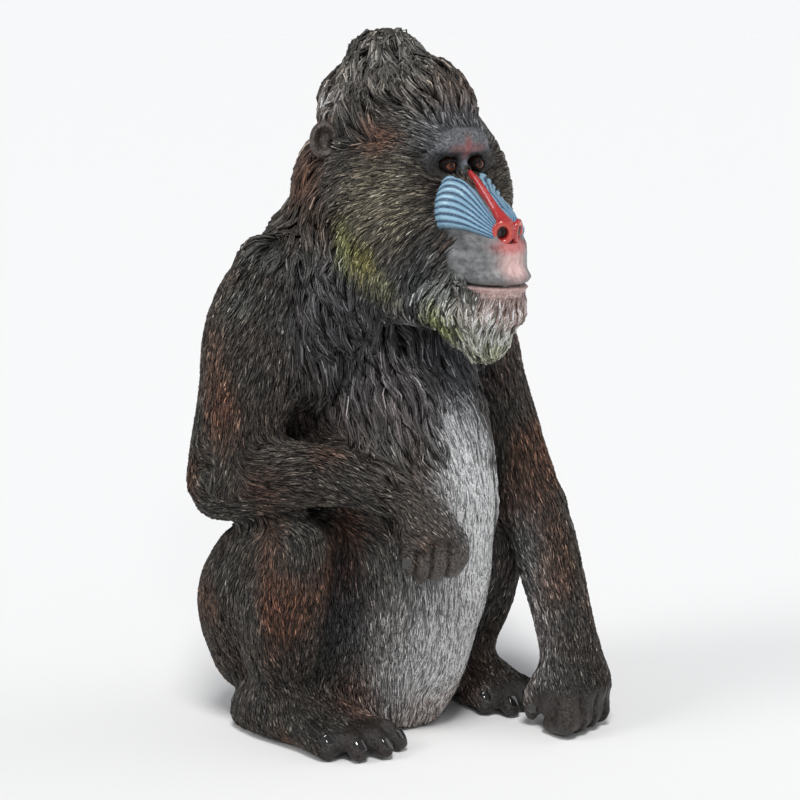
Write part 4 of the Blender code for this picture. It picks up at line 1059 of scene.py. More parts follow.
def rounded_curve(corners, count):
    """A curve past the corners: they are cut off three times, and points are set at even steps."""
    rows = np.array(corners)
    for _ in range(3):
        cut = np.stack((rows[:-1] * 0.75 + rows[1:] * 0.25, rows[:-1] * 0.25 + rows[1:] * 0.75), 1)
        rows = np.concatenate((rows[:1], cut.reshape(-1, 3), rows[-1:]))
    length = np.concatenate(((0,), np.cumsum(np.linalg.norm(np.diff(rows, axis=0), axis=1))))
    even = np.linspace(0, length[-1], count)
    return np.stack([np.interp(even, length, rows[:, k]) for k in range(3)], 1)


upper, lower = rounded_curve(UPPER_EDGE, COLUMNS), rounded_curve(LOWER_EDGE, COLUMNS)
print("flange", round(1000 * float(np.linalg.norm(upper[0] - lower[0]))), "mm high at the rear")

# %% [markdown]
# The paint follows the relief: light blue on the ridges, dark blue between them, and nearly black along the
# lower edge, where the flange meets the muzzle.

# %% Raise and paint the flanges
FLANGE_THICK = 0.0045
FLAT_RISE, SWELL_RISE, RIDGE_RISE, SUNK = 0.0028, 0.0026, 0.0024, 0.0018
FRONT_BLUE, REAR_BLUE = Vector((0.120, 0.265, 0.405)), Vector((0.210, 0.370, 0.480))
GROOVE_BLUE, EDGE_BLUE = Vector((0.016, 0.048, 0.105)), Vector((0.012, 0.028, 0.050))
blue_paint, tree, shader = principled("blue_ridges")
flecks = noise_at(tree, 420.0, 3.0, 0.6)
flecked = spread_out(tree, flecks, 0.45, 0.75, 0.0, 0.30)
flecked_paint = blend_colours(tree, flecked, colour_of(tree, "paint"), (0.50, 0.62, 0.70, 1))
tree.links.new(flecked_paint, shader.inputs["Base Color"])
shader.inputs["Roughness"].default_value = 0.34
raise_by(tree, shader, flecks, 0.0004, 0.4)
for letter, side in (("L", 1), ("R", -1)):
    mirror = np.array((side, 1, 1))
    out = np.cross(lower[0] - upper[0], upper[-1] - upper[0]) * mirror
    out = Vector(out * (-1 if out[0] * side < 0 else 1)).normalized()
    deselect_all()
    bpy.ops.mesh.primitive_grid_add(
        x_subdivisions=COLUMNS - 1, y_subdivisions=ROWS - 1, size=1.0, location=(0, 0, 0)
    )
    flange = bpy.context.object
    flange.name = "cheek_flange_" + letter
    plain = points_of(flange) + 0.5
    placed, colours = [], []
    for step, down in plain[:, :2].tolist():
        down = 1.0 - down
        column = min(COLUMNS - 1, int(round(step * (COLUMNS - 1))))
        place = upper[column] * (1 - down) + lower[column] * down
        place = place + np.array((0, REAR_BULGE * math.sin(math.pi * down) * (1 - step) ** 3, 0))
        point = at(*(place * mirror))
        found = face_tree.ray_cast(point + out * 0.05, -out)[0]
        found = found if found is not None and (found - point).length < 0.02 else point
        edge = min(1.0, 12 * down, 12 * (1 - down), 9 * step, 9 * (1 - step))
        wave = 0.5 + 0.5 * math.cos(math.tau * (RIDGES * down - 0.5))
        ridge = 1.0 - (1.0 - wave) ** 2.2
        swell = math.sin(math.pi * down) ** 0.7
        relief = FLAT_RISE + SWELL_RISE * swell + RIDGE_RISE * ridge * (1.0 - 0.5 * step)
        placed.append(found + out * (edge ** 0.5 * relief - SUNK))
        light = FRONT_BLUE.lerp(REAR_BLUE, min(1.0, (1 - step) * 1.3))
        tone = GROOVE_BLUE.lerp(light, min(1.0, max(0.0, (wave - 0.10) / 0.50)))
        rim = min(1.0, max(0.0, 9 * (down - 0.90), 9 * (0.035 - down)))
        colours.append(tone.lerp(EDGE_BLUE, rim))
    put_points(flange, np.array(placed))
    store_colour(flange, "paint", np.array(colours))
    thick = flange.modifiers.new("thick", "SOLIDIFY")
    thick.thickness = FLANGE_THICK
    thick.offset = 1.0 if side > 0 else -1.0
    apply_all(flange)
    bpy.ops.object.mode_set(mode="EDIT")
    bpy.ops.mesh.select_all(action="SELECT")
    bpy.ops.mesh.normals_make_consistent(inside=False)
    bpy.ops.object.mode_set(mode="OBJECT")
    bpy.ops.object.shade_smooth()
    flange.data.materials.append(blue_paint)
    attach(flange, "root")
    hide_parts("cheek_ridges_" + letter)
print("flanges with", RIDGES, "ridges each")

# %% [markdown]
# ## Ears
# The ears are small thick cups, half hidden in fur.  A ball is flattened, its front is pushed in, and its
# rim is left as a round fold.

# %% Ears
EAR_HALF, CUP_DEPTH, FOLD_RISE = (0.0195, 0.0245, 0.0110), 0.0150, 0.0030
ear_paint, tree, shader = principled("brown_ear")
grain = noise_at(tree, 420.0, 4.0, 0.6)
grained = spread_out(tree, grain, 0.38, 0.68)
grained_paint = blend_colours(tree, grained, (0.012, 0.008, 0.007, 1), (0.120, 0.092, 0.078, 1))
tree.links.new(grained_paint, shader.inputs["Base Color"])
shader.inputs["Roughness"].default_value = 0.45
raise_by(tree, shader, grain, 0.0012, 0.6)
for letter, side in (("L", 1), ("R", -1)):
    deselect_all()
    bpy.ops.mesh.primitive_uv_sphere_add(segments=48, ring_count=32, radius=1.0, location=(0, 0, 0))
    ear = bpy.context.object
    ear.name = "ear_cup_" + letter
    ball = points_of(ear)
    away = np.hypot(ball[:, 0], ball[:, 1])
    local = ball * np.array(EAR_HALF)
    cup = (1 - smoothstep(0.30, 0.80, away)) * (ball[:, 2] > 0)
    local[:, 2] -= CUP_DEPTH * cup
    fold = bell(away, 0.52, 0.10) * (ball[:, 2] > 0) * (ball[:, 1] < 0.3)
    local[:, 2] += FOLD_RISE * fold
    turn = np.array(facing((side * 0.55, -0.82, 0.10)))
    put_points(ear, local @ turn.T + np.array(at(side * 0.100, 0.066, 0.790)))
    bpy.ops.object.shade_smooth()
    ear.data.materials.append(ear_paint)
    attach(ear, "root")
    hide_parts("ear_" + letter)
print("ears modelled")

# %% [markdown]
# ## Nails
# Fingers and toes end in short glossy black nails.  One nail is modelled: a block with rounded edges that is
# curved over the finger.  Copies of its mesh are laid on the tips.

# %% Nails
NAIL_SIZE, NAIL_EDGE = (0.0125, 0.0160, 0.0030), 0.0013
ACROSS_CURVE, TIP_CURVE, TIP_TAPER = 22.0, 18.0, 12.0
nail_paint, tree, shader = principled("black_nail")
nail_grain = noise_at(tree, 500.0, 2.0, 0.5)
grained_nail = blend_colours(tree, nail_grain, (0.004, 0.004, 0.004, 1), (0.020, 0.018, 0.016, 1))
tree.links.new(grained_nail, shader.inputs["Base Color"])
shader.inputs["Roughness"].default_value = 0.12
shader.inputs["Coat Weight"].default_value = 0.8
shader.inputs["Coat Roughness"].default_value = 0.05
deselect_all()
bpy.ops.mesh.primitive_cube_add(size=1.0, location=(0, 0, 0))
nail = bpy.context.object
nail.name = "nail_pattern"
nail.scale = NAIL_SIZE
settle(nail)
bpy.ops.object.mode_set(mode="EDIT")
bpy.ops.mesh.select_all(action="SELECT")
bpy.ops.mesh.bevel(offset=NAIL_EDGE, segments=3, affect="EDGES")
bpy.ops.mesh.select_all(action="SELECT")
bpy.ops.mesh.subdivide(number_cuts=2)
bpy.ops.object.mode_set(mode="OBJECT")
nail_shape = points_of(nail)
nail_shape[:, 2] -= ACROSS_CURVE * nail_shape[:, 0] ** 2 + TIP_CURVE * np.clip(nail_shape[:, 1], 0, 1) ** 2
nail_shape[:, 0] *= 1.0 - TIP_TAPER * np.clip(nail_shape[:, 1] - 0.002, 0, 1)
nail_shape -= np.array((0, 0, nail_shape[:, 2].max()))
print("nail of", len(nail.data.polygons), "faces")

# %% [markdown]
# A toe's nail is found by looking down on the toe.  The big toes lie half under the body and get none.  The
# hanging hand shows one nail, on its curled outermost finger, and the fist shows the nail of its thumb.

# %% Lay the nails on the tips
# tip of the toe, and how far it turns outwards for one straight ahead
TOES = [
    (-0.166, -0.020, -0.25), (-0.138, -0.052, -0.12), (-0.103, -0.062, 0.05), (-0.068, -0.048, 0.25),
    (0.206, -0.008, 0.25), (0.174, -0.030, 0.05), (0.142, -0.036, -0.12), (0.121, -0.006, -0.30),
]
# from where one looks, the direction of looking, the direction of the finger
FINGERS = [
    ((-0.235, -0.259, 0.270), (0.64, 0.77, 0.0), (-0.06, 0.06, -1.0)),
    ((0.080, -0.150, 0.030), (0.62, 0.78, 0.0), (0.25, 0.05, -1.0)),
]
ABOVE_TOES, NAIL_STANDS = 0.055, 0.0014
NAILS = []
for x, y, aim in TOES:
    forward = Vector((aim, -1.0, 0.0)).normalized()
    start = at(x, y + 0.004, ABOVE_TOES) + forward * 0.0040
    found, normal = face_tree.ray_cast(start, Vector((0, 0, -1)))[:2]
    if found is not None and found.z > 0.012 and normal.z > 0.2:
        NAILS.append((found, (normal + forward * 0.25).normalized(), forward))
for start, look, forward in FINGERS:
    found, normal = face_tree.ray_cast(at(*start), Vector(look).normalized())[:2]
    if found is not None:
        NAILS.append((found, (normal - Vector(look).normalized()).normalized(), Vector(forward).normalized()))
copies = []
for found, normal, forward in NAILS:
    across = forward.cross(normal).normalized()
    turn = np.array(Matrix((across, normal.cross(across), normal)).transposed())
    one = bpy.data.objects.new("nail_copy", nail.data.copy())
    bpy.context.scene.collection.objects.link(one)
    put_points(one, (nail_shape + np.array((0, 0, NAIL_STANDS))) @ turn.T + np.array(found))
    copies.append(one)
select_only(*copies)
bpy.ops.object.join()
nails = bpy.context.object
nails.name = "nails"
bpy.ops.object.shade_smooth()
nails.data.materials.append(nail_paint)
bpy.data.objects.remove(nail)
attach(nails, "root")
print("nails", len(NAILS), [tuple(round(1000 * v) for v in (row[0] - moved)) for row in NAILS])

# %% [markdown]
# ## The lie of the fur
# Moulded fur has a direction at every place: up to the peak of the crest, back from the face and down over
# cheeks, neck, back and limbs.  Lines are drawn over the body in that direction.  Each line also says how
# long, wide and high its strands are.  Anywhere else, the nearest lines are averaged.

# %% Strand styles and the lines that carry them
# length, width, height of the lock, radius of a clump, skin per strand in square mm, how far drawn in
STYLES = {
    "crest": (0.056, 0.0042, 0.0100, 0.0140, 8.8, 0.85),
    "temple": (0.020, 0.0018, 0.0010, 0.0050, 5.5, 0.25),
    "cheek": (0.030, 0.0019, 0.0016, 0.0070, 6.0, 0.35),
    "ruff": (0.056, 0.0030, 0.0090, 0.0105, 7.5, 0.75),
    "beard": (0.040, 0.0036, 0.0064, 0.0080, 6.4, 0.85),
    "mantle": (0.078, 0.0032, 0.0085, 0.0115, 10.0, 0.55),
    "back": (0.046, 0.0031, 0.0036, 0.0110, 14.0, 0.45),
    "chest": (0.070, 0.0030, 0.0075, 0.0105, 9.0, 0.55),
    "belly": (0.034, 0.0023, 0.0017, 0.0078, 9.0, 0.30),
    "arm": (0.021, 0.0022, 0.0013, 0.0080, 10.5, 0.30),
    "leg": (0.021, 0.0023, 0.0013, 0.0085, 11.0, 0.30),
    "hand": (0.011, 0.0016, 0.0005, 0.0050, 8.0, 0.10),
}
LONG_STYLES = ("crest", "ruff", "mantle", "chest", "beard")
LINES = [
    ("temple", "middle", [(0, -0.105, 0.775), (0, -0.090, 0.810), (0, -0.075, 0.830)]),
    ("temple", "pair", [(0.030, -0.098, 0.790), (0.055, -0.070, 0.808), (0.075, -0.030, 0.820)]),
    ("crest", "middle", [(0, -0.068, 0.832), (0, -0.030, 0.870), (0, 0.020, 0.900), (0, 0.058, 0.918)]),
    ("crest", "pair", [
        (0.040, -0.060, 0.830), (0.040, -0.020, 0.868), (0.022, 0.025, 0.898), (0.004, 0.055, 0.916),
    ]),
    ("crest", "pair", [
        (0.086, -0.005, 0.810), (0.072, 0.018, 0.845), (0.045, 0.040, 0.885), (0.008, 0.058, 0.914),
    ]),
    ("crest", "pair", [
        (0.095, 0.090, 0.800), (0.070, 0.085, 0.845), (0.040, 0.075, 0.882), (0.005, 0.064, 0.912),
    ]),
    ("crest", "middle", [(0, 0.170, 0.800), (0, 0.150, 0.840), (0, 0.110, 0.885), (0, 0.072, 0.912)]),
    ("cheek", "pair", [
        (0.052, -0.080, 0.768), (0.082, -0.048, 0.772), (0.104, -0.004, 0.765), (0.116, 0.040, 0.738),
    ]),
    ("cheek", "pair", [
        (0.062, -0.092, 0.725), (0.088, -0.064, 0.722), (0.108, -0.026, 0.706), (0.120, 0.010, 0.680),
    ]),
    ("cheek", "pair", [
        (0.062, -0.100, 0.685), (0.084, -0.078, 0.672), (0.102, -0.046, 0.640), (0.104, -0.030, 0.600),
    ]),
    ("ruff", "pair", [
        (0.118, 0.045, 0.735), (0.130, 0.062, 0.680), (0.132, 0.062, 0.610), (0.128, 0.050, 0.560),
    ]),
    ("ruff", "pair", [
        (0.122, 0.010, 0.680), (0.128, 0.020, 0.640), (0.122, 0.018, 0.590), (0.110, 0.010, 0.545),
    ]),
    ("beard", "pair", [
        (0.050, -0.125, 0.662), (0.072, -0.104, 0.640), (0.080, -0.086, 0.605), (0.068, -0.078, 0.560),
    ]),
    ("beard", "pair", [(0.022, -0.178, 0.602), (0.024, -0.168, 0.572), (0.010, -0.148, 0.530)]),
    ("beard", "pair", [(0.055, -0.128, 0.612), (0.050, -0.130, 0.578), (0.024, -0.140, 0.538)]),
    ("mantle", "middle", [(0, 0.185, 0.785), (0, 0.200, 0.700), (0, 0.232, 0.640), (0, 0.262, 0.560)]),
    ("mantle", "pair", [
        (0.100, 0.105, 0.785), (0.125, 0.130, 0.710), (0.128, 0.170, 0.650), (0.136, 0.216, 0.580),
    ]),
    ("mantle", "pair", [
        (0.122, 0.075, 0.660), (0.140, 0.060, 0.600), (0.130, 0.010, 0.520), (0.120, -0.010, 0.460),
    ]),
    ("back", "middle", [
        (0, 0.262, 0.560), (0.004, 0.275, 0.450), (0.006, 0.275, 0.300), (0.010, 0.262, 0.060),
    ]),
    ("back", "pair", [
        (0.136, 0.216, 0.580), (0.150, 0.240, 0.450), (0.146, 0.240, 0.300), (0.130, 0.220, 0.060),
    ]),
    ("back", "pair", [(0.160, 0.130, 0.440), (0.150, 0.120, 0.330), (0.140, 0.110, 0.250)]),
    ("chest", "pair", [(0.060, -0.020, 0.590), (0.052, -0.036, 0.520), (0.046, -0.066, 0.450)]),
    ("chest", "pair", [(0.120, 0.000, 0.480), (0.110, -0.034, 0.420), (0.104, -0.045, 0.340)]),
    ("belly", "middle", [(0, -0.074, 0.460), (0, -0.092, 0.370), (0, -0.095, 0.250), (0.020, -0.070, 0.120)]),
    ("belly", "middle", [(0.020, -0.070, 0.120), (0.028, -0.040, 0.050), (0.030, 0.000, 0.020)]),
    ("belly", "pair", [
        (0.075, -0.055, 0.380), (0.085, -0.060, 0.300), (0.085, -0.052, 0.200), (0.080, -0.030, 0.080),
    ]),
    ("leg", "pair", [(0.215, 0.080, 0.275), (0.232, 0.110, 0.180), (0.205, 0.110, 0.080)]),
    ("leg", "pair", [(0.180, 0.180, 0.250), (0.190, 0.210, 0.160), (0.160, 0.200, 0.060)]),
    ("leg", "pair", [(0.165, -0.004, 0.275), (0.168, 0.004, 0.190), (0.158, 0.035, 0.080)]),
    ("leg", "pair", [(0.120, 0.030, 0.270), (0.115, 0.050, 0.180), (0.115, 0.060, 0.090)]),
    ("hand", "pair", [(0.150, 0.075, 0.085), (0.140, 0.020, 0.062), (0.128, -0.030, 0.044)]),
]
ARM_LINES = [
    ("arm", [(-0.146, 0.105, 0.606), (-0.199, 0.106, 0.470), (-0.218, 0.122, 0.352)], 0.058, 0.000),
    ("arm", [(-0.220, 0.124, 0.354), (-0.150, 0.015, 0.368), (-0.084, -0.080, 0.346)], 0.044, 0.012),
    ("hand", [(-0.084, -0.085, 0.346), (-0.060, -0.118, 0.296)], 0.030, 0.000),
    ("arm", [(0.140, 0.100, 0.600), (0.182, 0.064, 0.450), (0.188, 0.012, 0.335)], 0.056, 0.000),
    ("arm", [(0.188, 0.012, 0.335), (0.184, -0.050, 0.237), (0.175, -0.106, 0.120)], 0.044, 0.000),
    ("hand", [(0.175, -0.118, 0.122), (0.176, -0.140, 0.070)], 0.040, 0.000),
]


def round_the_limb(style, axis, radius, sag):
    """Four lines along a limb, round its axis, each sinking by sag at every step."""
    points = [Vector(p) for p in axis]
    ahead = (points[-1] - points[0]).normalized()
    side = ahead.orthogonal().normalized()
    other = ahead.cross(side)
    rows = []
    for turn in range(4):
        out = (side * math.cos(math.tau * turn / 4) + other * math.sin(math.tau * turn / 4)) * radius
        rows.append((style, "one", [tuple(p + out + Vector((0, 0, -sag * k))) for k, p in enumerate(points)]))
    return rows


for style, axis, radius, sag in ARM_LINES:
    LINES += round_the_limb(style, axis, radius, sag)
style_names = list(STYLES)
segments = []
for style, kind, line in LINES:
    for side in ((1, -1) if kind == "pair" else (1,)):
        placed = [at(side * x, y, z) for x, y, z in line]
        for a, b in zip(placed, placed[1:]):
            segments.append((*a, *b, style_names.index(style)))
segments = np.array(segments)
print("lines", len(LINES), "pieces of line", len(segments))

# %% [markdown]
# A place reads all pieces of line at once, each weighed by its nearness, so the lie turns without a seam.

# %% Read the lie, and the sizes of the strands, at any place
POINTS_AT_ONCE, LINE_BLUR = 20000, 0.004


def read_lines(points):
    """For each point: the direction of the fur, the sizes of its strands, and its nearest style."""
    start, end = segments[:, :3], segments[:, 3:6]
    along = end - start
    squared = (along ** 2).sum(1)
    direction = along / np.sqrt(squared)[:, None]
    sizes = np.array([STYLES[style_names[int(k)]] for k in segments[:, 6]])
    lies, measures, nearest = [], [], []
    for first in range(0, len(points), POINTS_AT_ONCE):
        part = points[first:first + POINTS_AT_ONCE]
        t = np.clip(((part[:, None] - start) * along).sum(2) / squared, 0.0, 1.0)
        away = np.linalg.norm(part[:, None] - (start + t[:, :, None] * along), axis=2)
        weight = 1.0 / (away + LINE_BLUR) ** 4
        weight /= weight.sum(1, keepdims=True)
        lies.append(weight @ direction)
        measures.append(weight @ sizes)
        nearest.append(segments[np.argmax(weight, 1), 6].astype(int))
    return np.concatenate(lies), np.concatenate(measures), np.concatenate(nearest)


shown = read_lines(np.array([at(0.0, 0.262, 0.500)]))[0][0]
print("on the back the fur lies along", [round(float(v), 2) for v in shown])

# %% [markdown]
# ## Unwrap the skin
# Each strand carries a small patch of picture at its root's place.  For that the skin is unwrapped once, by
# its own shape.

# %% Unwrap
select_only(skin)
bpy.ops.object.mode_set(mode="EDIT")
bpy.ops.mesh.select_all(action="SELECT")
bpy.ops.mesh.quads_convert_to_tris()
bpy.ops.uv.smart_project(angle_limit=math.radians(66), island_margin=0.0005)
bpy.ops.object.mode_set(mode="OBJECT")
skin.data.uv_layers[0].name = "skin_unwrap"
corner_count = len(skin.data.loops)
corner_uvs = np.empty(corner_count * 2)
skin.data.uv_layers[0].data.foreach_get("uv", corner_uvs)
corner_uvs = corner_uvs.reshape(-1, 3, 2)
corner_points = np.empty(corner_count, int)
skin.data.loops.foreach_get("vertex_index", corner_points)
corner_points = corner_points.reshape(-1, 3)
print("triangles", len(corner_points), "unwrapped")

# %% [markdown]
# ## Roots
# The strands' roots are spread over the skin as evenly as its triangles allow, more of them where the
# strands are finer, and none on the bare skin of face, fingers and toes.

# %% Spread the roots
draw = np.random.default_rng(5)
EDGE_SIZE = 0.45
# middle and reach of each bare zone, 1 place or 2 sides
NAKED = [
    ((0.000, -0.150, 0.690), (0.058, 0.060, 0.050), 1),
    ((0.036, -0.128, 0.716), (0.026, 0.042, 0.042), 2),
    ((0.0235, -0.090, 0.768), (0.036, 0.032, 0.022), 2),
    ((0.000, -0.095, 0.785), (0.048, 0.032, 0.024), 1),
    ((0.000, -0.150, 0.652), (0.062, 0.066, 0.040), 1),
    ((0.000, -0.165, 0.625), (0.052, 0.046, 0.020), 1),
    ((-0.060, -0.124, 0.256), (0.064, 0.044, 0.038), 1),
    ((0.176, -0.128, 0.032), (0.085, 0.060, 0.044), 1),
    ((-0.108, -0.044, 0.010), (0.085, 0.062, 0.040), 1),
    ((0.165, -0.034, 0.010), (0.080, 0.062, 0.040), 1),
]


def coat_cover(points):
    """1 where strands grow and 0 on bare skin."""
    out = np.ones(len(points))
    for (x, y, z), reach, sides in NAKED:
        for side in (1, -1)[:sides]:
            out = np.minimum(out, smoothstep(0.85, 1.15, within(points, (side * x, y, z), reach)))
    return out * smoothstep(0.004, 0.012, points[:, 2])


skin_points = points_of(skin)
corners = skin_points[corner_points]
crossed = np.cross(corners[:, 1] - corners[:, 0], corners[:, 2] - corners[:, 0])
areas = np.linalg.norm(crossed, axis=1) / 2
centres = corners.mean(1)
_, sizes_there, _ = read_lines(centres)
wanted = areas * coat_cover(centres) * 1e6 / sizes_there[:, 4]
running = np.cumsum(wanted)
chosen = np.searchsorted(running, np.arange(0.5, running[-1])).clip(0, len(corner_points) - 1)
mix = draw.dirichlet((1.2, 1.2, 1.2), len(chosen))
roots = (corners[chosen] * mix[:, :, None]).sum(1)
root_uvs = (corner_uvs[chosen] * mix[:, :, None]).sum(1)
_, root_sizes, root_styles = read_lines(roots)
root_cover = EDGE_SIZE + (1 - EDGE_SIZE) * coat_cover(roots)
root_sizes[:, (0, 1, 2)] *= root_cover[:, None]
print("strands", len(roots), {name: int((root_styles == k).sum()) for k, name in enumerate(style_names)})

# %% [markdown]
# ## Clumps
# The sculptor worked in locks: strands start side by side and draw together to one tip.  So each strand
# belongs to the nearest of a few thousand guides, and follows its guide's path over the skin.

# %% Guides, evenly spaced, and their paths over the skin
tree_of_skin = BVHTree.FromPolygons(skin_points.tolist(), corner_points.tolist())
STATIONS = 4
NEAR_GUIDES, ROUNDS_OF_SHARING = 6, 3
ALONG_COUNTS = 0.45
LENGTHS, HEIGHTS = (0.80, 1.20), (0.45, 1.30)


def onto_skin(points):
    """The nearest points of the skin, and the directions out of it there."""
    found = [tree_of_skin.find_nearest(p)[:2] for p in points.tolist()]
    return np.array([f[0] for f in found]), np.array([f[1] for f in found])


def share_out(places, lies):
    """The guide of each strand: the nearest one, where a step along the fur counts less than one across."""
    finder = KDTree(len(places))
    for k, point in enumerate(places.tolist()):
        finder.insert(point, k)
    finder.balance()
    near = np.array([[hit[1] for hit in finder.find_n(p, NEAR_GUIDES)] for p in roots.tolist()])
    away = roots[:, None] - places[near]
    along = (away * lies[near]).sum(2)
    cost = (away ** 2).sum(2) - (1.0 - ALONG_COUNTS ** 2) * along ** 2
    return near[np.arange(len(roots)), np.argmin(cost, 1)]


clump_density = root_sizes[:, 4] * 1e-6 / (math.pi * root_sizes[:, 3] ** 2)
running = np.cumsum(clump_density)
guides = roots[np.searchsorted(running, np.arange(0.5, running[-1])).clip(0, len(roots) - 1)]
for _ in range(ROUNDS_OF_SHARING):
    owner = share_out(guides, unit(read_lines(guides)[0]))
    count = np.maximum(np.bincount(owner, minlength=len(guides)), 1)
    average = np.stack([np.bincount(owner, roots[:, k], len(guides)) for k in range(3)], 1) / count[:, None]
    guides = np.where((count > 1)[:, None], average, guides)
owner = share_out(guides, unit(read_lines(guides)[0]))
guides, _ = onto_skin(guides)
_, guide_sizes, _ = read_lines(guides)
guide_length = guide_sizes[:, 0] * draw.uniform(*LENGTHS, len(guides))
guide_height = draw.uniform(*HEIGHTS, len(guides))
# each path bends by a slow pattern and by chance, and long ones swing from side to side
wave = 3.2 * soft_noise(guides, 0.11, 21) + draw.normal(0.0, 0.45, len(guides))
bend = 0.22 * soft_noise(guides, 0.15, 22) + draw.normal(0.0, 0.07, len(guides))
swing_size = 0.08 + 0.30 * smoothstep(0.025, 0.060, guide_sizes[:, 0])
paths, runs, acrosses = [], [], []
place = guides
for k in range(STATIONS):
    place, out = onto_skin(place)
    lie, _, _ = read_lines(place)
    run = unit(lie - out * (lie * out).sum(1, keepdims=True))
    swing = bend + swing_size * np.sin(wave + 2.0 * k)
    run = unit(run + np.cross(out, run) * swing[:, None])
    paths.append(place)
    runs.append(run)
    acrosses.append(np.cross(out, run))
    place = place + run * (guide_length / (STATIONS - 1))[:, None]
paths, runs, acrosses = np.stack(paths), np.stack(runs), np.stack(acrosses)
print("guides", len(guides))

# %% [markdown]
# ## One strand
# A hair system could grow the fur, but the real strands are thick moulded ridges, so each is a closed mesh.
# Seen end on, a strand is a low triangle: two edges and a ridge.  It has two or three such sections and
# ends in a point.  All strands are worked out together as arrays, and each section is put back on the
# skin before it is lifted to its height, so no strand leaves the surface.

# %% Where each section of each strand lies
offset = roots - paths[0][owner]
ahead_part = (offset * runs[0][owner]).sum(1)
side_part = (offset * acrosses[0][owner]).sum(1)
crown = np.sqrt(np.clip(1.0 - (side_part / (0.95 * root_sizes[:, 3])) ** 2, 0.0, 1.0))
shorter = draw.uniform(0.70, 1.0, len(roots))
jitter = draw.normal(0.0, 0.45, len(roots))


def strand_section(which, t):
    """The places on the skin, at a share t of each strand's length, and the directions out of it there."""
    if t == 0.0:
        return onto_skin(roots[which])
    reach = t * shorter[which] * (STATIONS - 1)
    low = np.minimum(reach.astype(int), STATIONS - 2)
    share = (reach - low)[:, None]
    mine = owner[which]
    middle = paths[low, mine] * (1 - share) + paths[low + 1, mine] * share
    drawn_in = root_sizes[which, 5] * t
    sway = side_part[which] * (1.0 - drawn_in) + jitter[which] * root_sizes[which, 1] * t
    behind = ahead_part[which] * (1.0 - 0.35 * drawn_in)
    return onto_skin(middle + runs[low, mine] * behind[:, None] + acrosses[low, mine] * sway[:, None])


# share of the length, height, width, how strongly the ridge is painted
LONG_STRAND = (
    (0.0, -0.10, 0.70, 0.40), (0.34, 0.80, 1.00, 1.00), (0.68, 1.00, 0.85, 1.10), (1.0, 0.50, 0.0, 0.9),
)
SHORT_STRAND = ((0.0, -0.15, 0.75, 0.45), (0.50, 1.00, 1.00, 1.05), (1.0, 0.35, 0.0, 0.9))
print("sections of a strand", len(LONG_STRAND) - 1, "or", len(SHORT_STRAND) - 1, "and a point")

# %% [markdown]
# A strand's two edges keep the groove colour.  Its ridge takes the ridge colour as strongly as the brush
# touched it, which chance decides, and a strand high in its clump gets more paint.

# %% Build strands as one joined mesh
THICK, LEAST_LIFT, LEAN = 0.42, 0.0004, 0.22
BRUSH_MIDDLE, BRUSH_SPREAD = -0.30, 0.78
PATCH = 0.003


def strand_mesh(which, sections):
    """One mesh of the strands in which, with their paint and their unwrapping."""
    count, rings = len(which), len(sections) - 1
    width = root_sizes[which, 1] * draw.uniform(0.75, 1.25, count)
    lift = root_sizes[which, 2] * (0.25 + 0.75 * crown[which]) * draw.uniform(0.75, 1.1, count)
    lift = lift * guide_height[owner[which]] + LEAST_LIFT
    roll = draw.normal(0.0, LEAN, count)
    groove, ridge = paint_at(roots[which], MARKS)
    brush = np.exp(draw.normal(BRUSH_MIDDLE, BRUSH_SPREAD, count)) * (0.45 + 0.75 * crown[which])
    brush = brush * (0.75 + 0.35 * guide_height[owner[which]])
    per_strand = 3 * rings + 1
    verts = np.empty((count, per_strand, 3))
    paint = np.ones((count, per_strand, 4))
    patch = np.empty((count, per_strand, 2))
    places = [strand_section(which, section[0]) for section in sections]
    for k, (t, high, wide, strength) in enumerate(sections):
        here, out = places[k]
        run = unit(places[min(k + 1, rings)][0] - places[max(k - 1, 0)][0])
        side = unit(np.cross(out, run))
        side = unit(side + out * roll[:, None])
        top = here + out * (lift * high)[:, None]
        tone = np.clip(groove * (1 - 0.9 * strength) + ridge * (strength * brush)[:, None], 0, 1)
        if k == rings:
            verts[:, -1], paint[:, -1, :3] = top, tone
            patch[:, -1] = root_uvs[which] + np.array((0.0, PATCH / 2))
            break
        half = side * (width * wide / 2)[:, None]
        thick = out * (width * THICK)[:, None]
        ring = (top + half - thick * 0.5, top + thick, top - half - thick * 0.5)
        for corner in range(3):
            verts[:, 3 * k + corner] = ring[corner]
            paint[:, 3 * k + corner, :3] = tone if corner == 1 else groove
            patch[:, 3 * k + corner] = root_uvs[which] + PATCH * np.array(((corner - 1) / 2, t - 0.5))
    faces = [(0, 1, 2)]
    for k in range(rings - 1):
        for j in range(3):
            a, b = 3 * k + j, 3 * k + (j + 1) % 3
            faces += [(a, a + 3, b + 3), (a, b + 3, b)]
    last, tip = 3 * (rings - 1), 3 * rings
    faces += [(last + j, tip, last + (j + 1) % 3) for j in range(3)]
    all_faces = (np.array(faces)[None] + (np.arange(count) * per_strand)[:, None, None]).reshape(-1, 3)
    return verts.reshape(-1, 3), all_faces, paint.reshape(-1, 4), patch.reshape(-1, 2)


